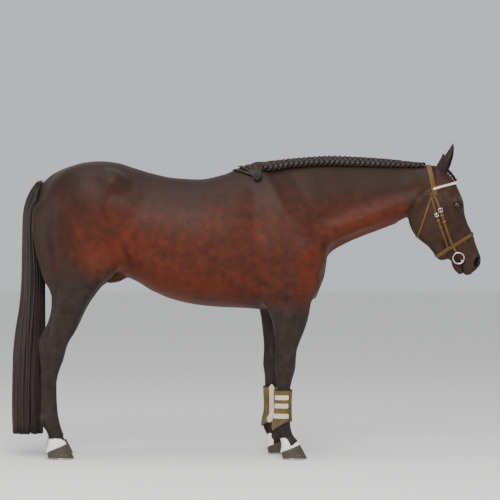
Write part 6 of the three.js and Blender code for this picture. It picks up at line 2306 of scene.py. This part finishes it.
class Boots:
    """The front boots: a leather shell with a front panel, binding, lining, cream straps and a pad inside."""

    middle = ((60, 248), (110, 234), (150, 208), (250, 204), (480, 216), (660, 228), (820, 240))  # height, x
    top, bottom, lobe = 384.0, 212.0, 54.0  # height of its edges, and how far the lower one hangs down behind
    lift, thick = 4.0, 6.0  # off the leg, and through the leather
    straps = (343.0, 297.0, 241.0)  # heights
    pad = (  # height, angle, half width
        (398, -1.62, 4), (380, -1.62, 17), (355, -1.62, 14),
        (230, -1.7, 14), (200, -1.85, 20), (182, -1.95, 20),
    )

    def __init__(self) -> None:
        self.leather = self._leather()
        self.cream = self._cream()
        self.lining = self._lining()

    def _leather(self) -> bpy.types.Material:
        """Oiled tan boot leather, darker where it is handled."""
        n = Nodes("oiled_boot_leather")
        grain = n.noise(2.4, detail=5, rough=0.6)
        stain = n.noise(60, detail=4, rough=0.6)
        tan = n.shades(stain, "#4c3a12", "#6f551c")
        n.set(Base_Color=n.mix(n.times(grain, 0.4), tan, "#38230d"), Roughness=0.46)
        n.set(Normal=n.bump(grain, 0.3, 0.6))
        return n.material

    def _cream(self) -> bpy.types.Material:
        """Cream woven strap: fine ribs across it, a little soiled."""
        n = Nodes("cream_webbing")
        rib = n.add("TexWave", {"Vector": n.place(), "Scale": 160.0, "Distortion": 0.6}, bands_direction="Z")
        colour = n.shades(n.noise(24, detail=4), "#e2d6ba", "#b9a886", [(0.35, 0.0), (0.75, 0.7)])
        n.set(Base_Color=n.mix(n.times(rib, 0.18), colour, "#8d7d5f"), Roughness=0.8)
        n.set(Normal=n.bump(rib, 0.5, 0.7))
        return n.material

    def _lining(self) -> bpy.types.Material:
        """Dark soft lining and binding."""
        n = Nodes("dark_boot_lining")
        weave = n.noise(1.4, detail=3)
        n.set(Base_Color=n.mix(weave, "#1a120c", "#33241a"), Roughness=0.75)
        n.set(Normal=n.bump(weave, 0.4, 0.6))
        return n.material

    def build(self) -> None:
        """Makes both boots."""
        for word, sign in SIDES:
            self._shell(word, sign)
            self._binding(word, sign)
            self._panel(word, sign)
            for k, height in enumerate(self.straps):
                self._strap(word, sign, k, height)
            self._pad(word, sign)

    def round_leg(self, height: Array, sign: float, angle: Array, lift: Array) -> Array:
        """Returns places round a foreleg: angle 0 is its front, a quarter turn its outside."""
        height, angle = np.broadcast_arrays(np.asarray(height, float), np.asarray(angle, float))
        shape = height.shape
        z, a = height.ravel(), angle.ravel()
        x = through(self.middle)(z)[0] - (FORE_LAG(z)[0] if sign > 0 else 0.0)
        centre = np.stack([x, sign * FORE_MIDDLE(z)[0], z], 1)
        way = np.stack([np.cos(a), sign * np.sin(a), 0.0 * a], 1)
        p = cast_out(centre, way)
        return (p + way * np.broadcast_to(lift, shape).reshape(-1, 1)).reshape(shape + (3,))

    def low(self, angle: Array) -> Array:
        """Returns the height of the lower edge, which hangs down in a lobe behind."""
        return self.bottom - self.lobe * ((1.0 - np.cos(angle)) / 2.0) ** 2

    def _shell(self, word: str, sign: float) -> None:
        """Makes the leather shell, inside and out."""
        angle = around_circle(64)
        t = np.linspace(0, 1, 26)[:, None]
        low = self.low(angle)
        z = low[None] + (self.top - low[None]) * t
        edge = np.minimum(1.0, np.minimum(t, 1 - t) * 14)
        swell = 1.2 * np.sin(math.pi * t) + 0.5 * np.sin(3 * angle)[None] * np.sin(2 * math.pi * t)
        lift = self.lift + self.thick - 1.6 + edge * 1.2 + 0.3 * swell
        outer = self.round_leg(z, sign, angle[None], lift)
        inner = self.round_leg(z, sign, angle[None], self.lift + 1.0)
        rings = np.concatenate([outer, inner[::-1]])
        points, faces = swept(rings if sign > 0 else rings[::-1], True)
        keep(mesh_piece(f"boot_shell_{word}", points, faces, self.leather), "boot_leather", f"boot_{word}")

    def _binding(self, word: str, sign: float) -> None:
        """Makes the dark binding along the shell's two edges."""
        angle = around_circle(64)
        pieces = []
        for z in (self.low(angle) + 1.0, np.full(64, self.top - 1.0)):
            path = self.round_leg(z, sign, angle, self.lift + self.thick * 0.5)
            pieces.append(pipe(path, 3.6, True, 8))
        points, faces = merged(pieces)
        keep(mesh_piece(f"boot_binding_{word}", points, faces, self.lining), "boot_leather")

    def _plate(
        self, name: str, z: Array, angle: Array, sign: float, lift: float, thick: float,
        material: bpy.types.Material, slot: str, *nodes: str,
    ) -> None:
        """Makes a thin plate laid over the boot, its rows running up and its columns round the leg.

        Args:
            name: the piece's name.
            z: height of each row and column.
            angle: angle round the leg of each.
            sign: 1 on the left leg, -1 on the right.
            lift: how far the plate's underside is off the leg.
            thick: its thickness.
            material: its finish.
            slot: a name passed on to keep.
            nodes: the plain solids that it stands for.
        """
        z, angle = (v.copy() for v in np.broadcast_arrays(z, angle))
        rows, columns = z.shape
        shrink, shrink_turn = 0.8, 0.03  # the outer face is this much smaller, in height and in angle
        under = self.round_leg(z, sign, angle, lift)
        rim = lerp(under, self.round_leg(z, sign, angle, lift + thick), 0.75)
        inner_z = z + np.clip(z.mean() - z, -shrink, shrink)
        inner_a = angle + np.clip(angle.mean(1, keepdims=True) - angle, -shrink_turn, shrink_turn)
        over = self.round_leg(inner_z, sign, inner_a, lift + thick)
        loop = [(0, c) for c in range(columns)] + [(r, columns - 1) for r in range(1, rows)]
        loop += [(rows - 1, c) for c in range(columns - 2, -1, -1)] + [(r, 0) for r in range(rows - 2, 0, -1)]
        points = np.concatenate([over.reshape(-1, 3), under.reshape(-1, 3), [rim[r, c] for r, c in loop]])
        size, faces = rows * columns, []
        for r in range(rows - 1):
            for c in range(columns - 1):
                a = r * columns + c
                faces.append([a, a + 1, a + columns + 1, a + columns])
                faces.append([size + a, size + a + columns, size + a + columns + 1, size + a + 1])
        for i, (r, c) in enumerate(loop):
            j = (i + 1) % len(loop)
            a, b = r * columns + c, loop[j][0] * columns + loop[j][1]
            faces.append([a, 2 * size + i, 2 * size + j, b])
            faces.append([2 * size + i, size + a, size + b, 2 * size + j])
        if sign < 0:
            faces = [f[::-1] for f in faces]
        keep(mesh_piece(name, points, faces, material), slot, *nodes)

    def _panel(self, word: str, sign: float) -> None:
        """Makes the stiff panel over the shell's front."""
        t, u = np.linspace(0, 1, 30)[:, None], np.linspace(-0.78, 0.78, 21)[None]
        angle = u * (1 - 0.08 * np.cos(2 * math.pi * t))
        low = self.low(angle) + 6.0
        z = low + (self.top - 7.0 - low) * t
        lift = self.lift + self.thick - 0.6
        self._plate(f"boot_front_panel_{word}", z, angle, sign, lift, 2.0, self.leather, "boot_leather")

    def _strap(self, word: str, sign: float, k: int, height: float) -> None:
        """Makes one webbing strap round the shell's outside, and the dark loop at its front end."""
        t, u = np.linspace(-1, 1, 13)[:, None], np.linspace(0, 1, 34)[None]
        start, stop = np.clip((0.08 - u) / 0.08, 0, 1), np.clip((u - 0.92) / 0.08, 0, 1)
        end = 1.0 - 0.22 * start ** 2 - 0.22 * stop ** 2  # the ends are rounded
        z, angle = height + 13.0 * t * end, lerp(0.86, math.pi - 0.3, u)
        lift = self.lift + self.thick + 0.2
        node = f"boot_strap_{word}_{k + 1}"
        self._plate(f"{node}_webbing", z, angle, sign, lift, 2.8, self.cream, "cream", node)
        t, u = np.linspace(-1, 1, 9)[:, None], np.linspace(0, 1, 7)[None]
        z, angle = height + 16.0 * t, lerp(0.76, 0.90, u)
        self._plate(f"boot_loop_{word}_{k + 1}", z, angle, sign, lift + 0.8, 3.6, self.lining, "boot_leather")

    def _pad(self, word: str, sign: float) -> None:
        """Makes the cream pad down the shell's inside."""
        height, turn, half = np.array(self.pad[::-1], float).T
        t, u = np.linspace(0, 1, 56)[:, None], np.linspace(-1, 1, 11)[None]
        z = lerp(height[0], height[-1], t)
        round_end = np.sqrt(np.clip(t * 9, 0.1, 1.0))
        reach = 46.0  # the shell's radius there
        angle = np.interp(z, height, turn) + u * np.interp(z, height, half) * round_end / reach
        lift = self.lift + self.thick + 0.4
        self._plate(
            f"boot_strike_pad_{word}", z, angle, sign, lift, 3.2, self.cream, "cream", f"boot_pad_{word}"
        )


# ---------------------------------------------------------------- feet


@dataclass(frozen=True)
class Hoof:
    """The size of a hoof and of its shoe: the round at the ground, and the smaller one at the top."""

    x: float
    long: float
    wide: float
    top_x: float
    top_long: float
    top_wide: float
    zero: float  # x at which the hoof's top stands HOOF_TOP high
    lag: float  # how far back the left one stands

    def at(self, t: float, sign: float) -> tuple[float, float, float]:
        """Returns the x of the middle, half length and half width a part `t` of the way up."""
        x = lerp(self.x, self.top_x, t) - (self.lag if sign > 0 else 0.0)
        return x, lerp(self.long, self.top_long, t) / 2, lerp(self.wide, self.top_wide, t) / 2


class Feet:
    """Hooves with their growth rings, iron shoes and the nails' clinches."""

    shapes = {
        "fore": Hoof(268.0, 138.0, 130.0, 246.0, 106.0, 98.0, FORE_HOOF_X, FORE_HOOF_LAG),
        "hind": Hoof(-1034.0, 146.0, 122.0, -1056.0, 114.0, 98.0, HIND_HOOF_X, HIND_HOOF_LAG),
    }
    shoe = 9.0  # thickness of the shoe
    shoe_section = (  # place across the web from its outer edge, and part of the thickness
        (0.0, 0.25), (0.03, 0.06), (0.12, 0.0), (0.34, 0.0), (0.40, 0.16), (0.52, 0.16), (0.58, 0.0),
        (0.9, 0.0), (1.0, 0.12), (1.0, 0.9), (0.95, 1.0), (0.08, 1.0), (0.0, 0.92),
    )

    def __init__(self) -> None:
        self.horn, self.steel = self._horn(), self._steel()

    def _horn(self) -> bpy.types.Material:
        """Grey-brown hoof horn: fine fibres down the wall, bands across it, paler by the ground."""
        n = Nodes("hoof_horn")
        fibre = n.noise(1.5, n.place((1.0, 1.0, 0.06)), detail=4)
        bands = n.noise(9, n.place((0.15, 0.15, 1.0), (0, 24, 0)), detail=2)
        colour = n.mix(fibre, "#29231d", "#443b31")
        colour = n.mix(n.times(bands, 0.5), colour, "#5f5548")
        n.set(Base_Color=colour, Roughness=0.55, Specular_IOR_Level=0.3)
        n.set(Normal=n.bump(n.plus(fibre, bands), 0.4, 0.5))
        return n.material

    def _steel(self) -> bpy.types.Material:
        """Forged shoe steel, bright where the ground rubs it."""
        n = Nodes("shoe_steel")
        worn = n.noise(11, detail=5, rough=0.6)
        n.set(Base_Color=n.mix(worn, "#7c7a76", "#b9b7b2"), Metallic=1.0)
        n.set(Roughness=n.curve(worn, [(0.3, 0.5), (0.7, 0.28)]))
        n.set(Normal=n.bump(n.noise(3, detail=4), 0.15, 0.4))
        return n.material

    def outline(self, angle: Array) -> tuple[Array, Array]:
        """Returns the foot's round at angles: pointed a little at the toe, flatter at the heels."""
        c, s = np.cos(angle), np.sin(angle)
        return np.where(c > 0, c, np.sign(c) * np.abs(c) ** 0.75), np.sign(s) * np.abs(s) ** 0.92

    def build(self) -> None:
        """Makes the four feet."""
        for word, sign in SIDES:
            for end in ("fore", "hind"):
                self._hoof(end, word, sign)
                self._shoe(end, word, sign)

    def _hoof(self, end: str, word: str, sign: float) -> None:
        """Makes a hoof, its wall ringed and flared a little, and closed with a rounded top."""
        shape = self.shapes[end]
        y = sign * LEG_SPREAD
        high = HOOF_TOP - 0.5 + (shape.top_x - shape.zero) * HOOF_SLOPE
        c, s = self.outline(around_circle(72))
        rings = []
        for t in np.concatenate([[0.0], np.linspace(0.02, 1.0, 34)]):
            grow = 0.55 * math.sin(t * 46.0) * math.sin(math.pi * t) + 0.25 * math.sin(t * 91.0 + 1.0)
            flare = 2.0 * (1 - t) ** 2
            x, half_long, half_wide = shape.at(t, sign)
            dx = c * (half_long + grow - 1.5 + flare * 0.3)
            z = self.shoe + t * (high - self.shoe) + HOOF_SLOPE * dx * t
            rings.append(np.stack([x + dx, y + s * (half_wide + grow - 1.2), z], 1))
        top = rings[-1]
        middle = top.mean(0)
        for part, rise in ((0.985, 1.0), (0.95, 1.2), (0.88, -1.0), (0.7, -6.0)):
            ring = middle + (top - middle) * [part, part, 1.0]
            ring[:, 2] = middle[2] + (top[:, 2] - middle[2]) * part + rise
            rings.append(ring)
        points, faces = swept(np.array(rings))
        keep(mesh_piece(f"horn_{end}_{word}", points, faces, self.horn), "hoof", f"hoof_{end}_{word}")
        nails = []
        t = 0.27  # how far up the wall the nails come out
        nail_z = self.shoe + t * (high - self.shoe)
        x, half_long, half_wide = shape.at(t, sign)
        for side in (1, -1):
            for k in range(3):
                c, s = self.outline(np.array([side * (0.62 + 0.36 * k)]))
                place = [x + c[0] * (half_long - 0.6), y + s[0] * (half_wide - 0.4), nail_z]
                nails.append((np.array(place), 2.3))
        keep(balls(f"nail_clinches_{end}_{word}", nails, self.steel, 8, 5), "shoe_steel")

    def _shoe(self, end: str, word: str, sign: float) -> None:
        """Makes an iron shoe, open at the heels, with a groove for the nails underneath."""
        x, half_long, half_wide = self.shapes[end].at(0.0, sign)
        half_long, half_wide = half_long + 1.0, half_wide + 1.0
        y, web = sign * LEG_SPREAD, 22.0
        c, s = self.outline(np.linspace(-math.pi * 0.74, math.pi * 0.74, 73))
        outer = np.stack([x + c * half_long, y + s * half_wide], 1)
        inner = np.stack([x + c * (half_long - web), y + s * (half_wide - web)], 1)
        rings = []
        for across, up in self.shoe_section:
            flat = lerp(outer, inner, across)
            rings.append(np.column_stack([flat, np.full(len(flat), up * (self.shoe - 0.3))]))
        points, faces = swept(np.stack(rings, 1))
        piece = mesh_piece(f"iron_shoe_{end}_{word}", points, faces, self.steel)
        keep(piece, "shoe_steel", f"shoe_{end}_{word}")


# ---------------------------------------------------------------- the room


class Studio:
    """The camera, a pale floor and soft light."""

    lens, sensor = 127.4, 36.0  # millimetres
    eye = (0.0198, -10.0, 1.164)  # metres
    lamps = (  # name, place, aim, size across and power
        ("key", (-0.6, -5.2, 5.0), (-0.1, 0.0, 1.1), 3.4, 330.0),
        ("fill", (4.5, -4.0, 3.0), (0.3, 0.0, 1.0), 3.5, 60.0),
        ("over", (-0.7, -0.9, 5.2), (-0.5, 0.0, 1.5), 3.2, 90.0),
        ("side", (-6.2, -2.2, 1.7), (-1.0, 0.0, 1.2), 2.4, 100.0),
    )

    def build(self) -> None:
        """Makes the camera, floor and lights."""
        self._camera()
        self._floor()
        self._lights()

    def _camera(self) -> None:
        """Sets a long lens level with the horse's back, straight at its right side."""
        camera = bpy.data.cameras.new("camera")
        camera.lens, camera.sensor_width = self.lens, self.sensor
        camera.clip_end = 100.0
        eye = bpy.data.objects.new("camera", camera)
        eye.location = self.eye
        eye.rotation_euler = (math.radians(90), 0, 0)
        bpy.context.scene.collection.objects.link(eye)
        bpy.context.scene.camera = eye

    def _floor(self) -> None:
        """Lays a wide pale floor."""
        bpy.ops.object.select_all(action="DESELECT")
        bpy.ops.mesh.primitive_plane_add(size=80.0)
        floor = bpy.context.active_object
        floor.name = "floor"
        n = Nodes("pale_floor")
        n.set(Base_Color="#f2f0ec", Roughness=0.9)
        floor.data.materials.append(n.material)

    def _lights(self) -> None:
        """Hangs broad lamps in a softly lit room."""
        world = bpy.data.worlds.new("soft_room")
        world.use_nodes = True
        glow = world.node_tree.nodes["Background"].inputs
        glow["Color"].default_value = linear("#e6e9ee")
        glow["Strength"].default_value = 0.8
        bpy.context.scene.world = world
        for name, place, aim, size, power in self.lamps:
            light = bpy.data.lights.new(name, "AREA")
            light.energy, light.size = power, size
            lamp = bpy.data.objects.new(name, light)
            lamp.location = place
            lamp.rotation_euler = (Vector(aim) - Vector(place)).to_track_quat("-Z", "Y").to_euler()
            bpy.context.scene.collection.objects.link(lamp)


# ---------------------------------------------------------------- the whole horse


def main() -> None:
    """Builds every piece in order."""
    logging.basicConfig(level=logging.INFO, format="%(message)s")
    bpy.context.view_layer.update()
    Studio().build()
    skin = Skin()
    Coat(skin).build()
    Tufts(skin, coat_material("coat_tuft", False)).build()
    Chestnuts().build()
    surface = Surface(skin)
    Bridle(surface).build()
    hair = hair_material()
    Mane(hair).build()
    Tail(hair).build()
    Eyes().build()
    Feet().build()
    Boots().build()


if __name__ == "__main__":
    main()
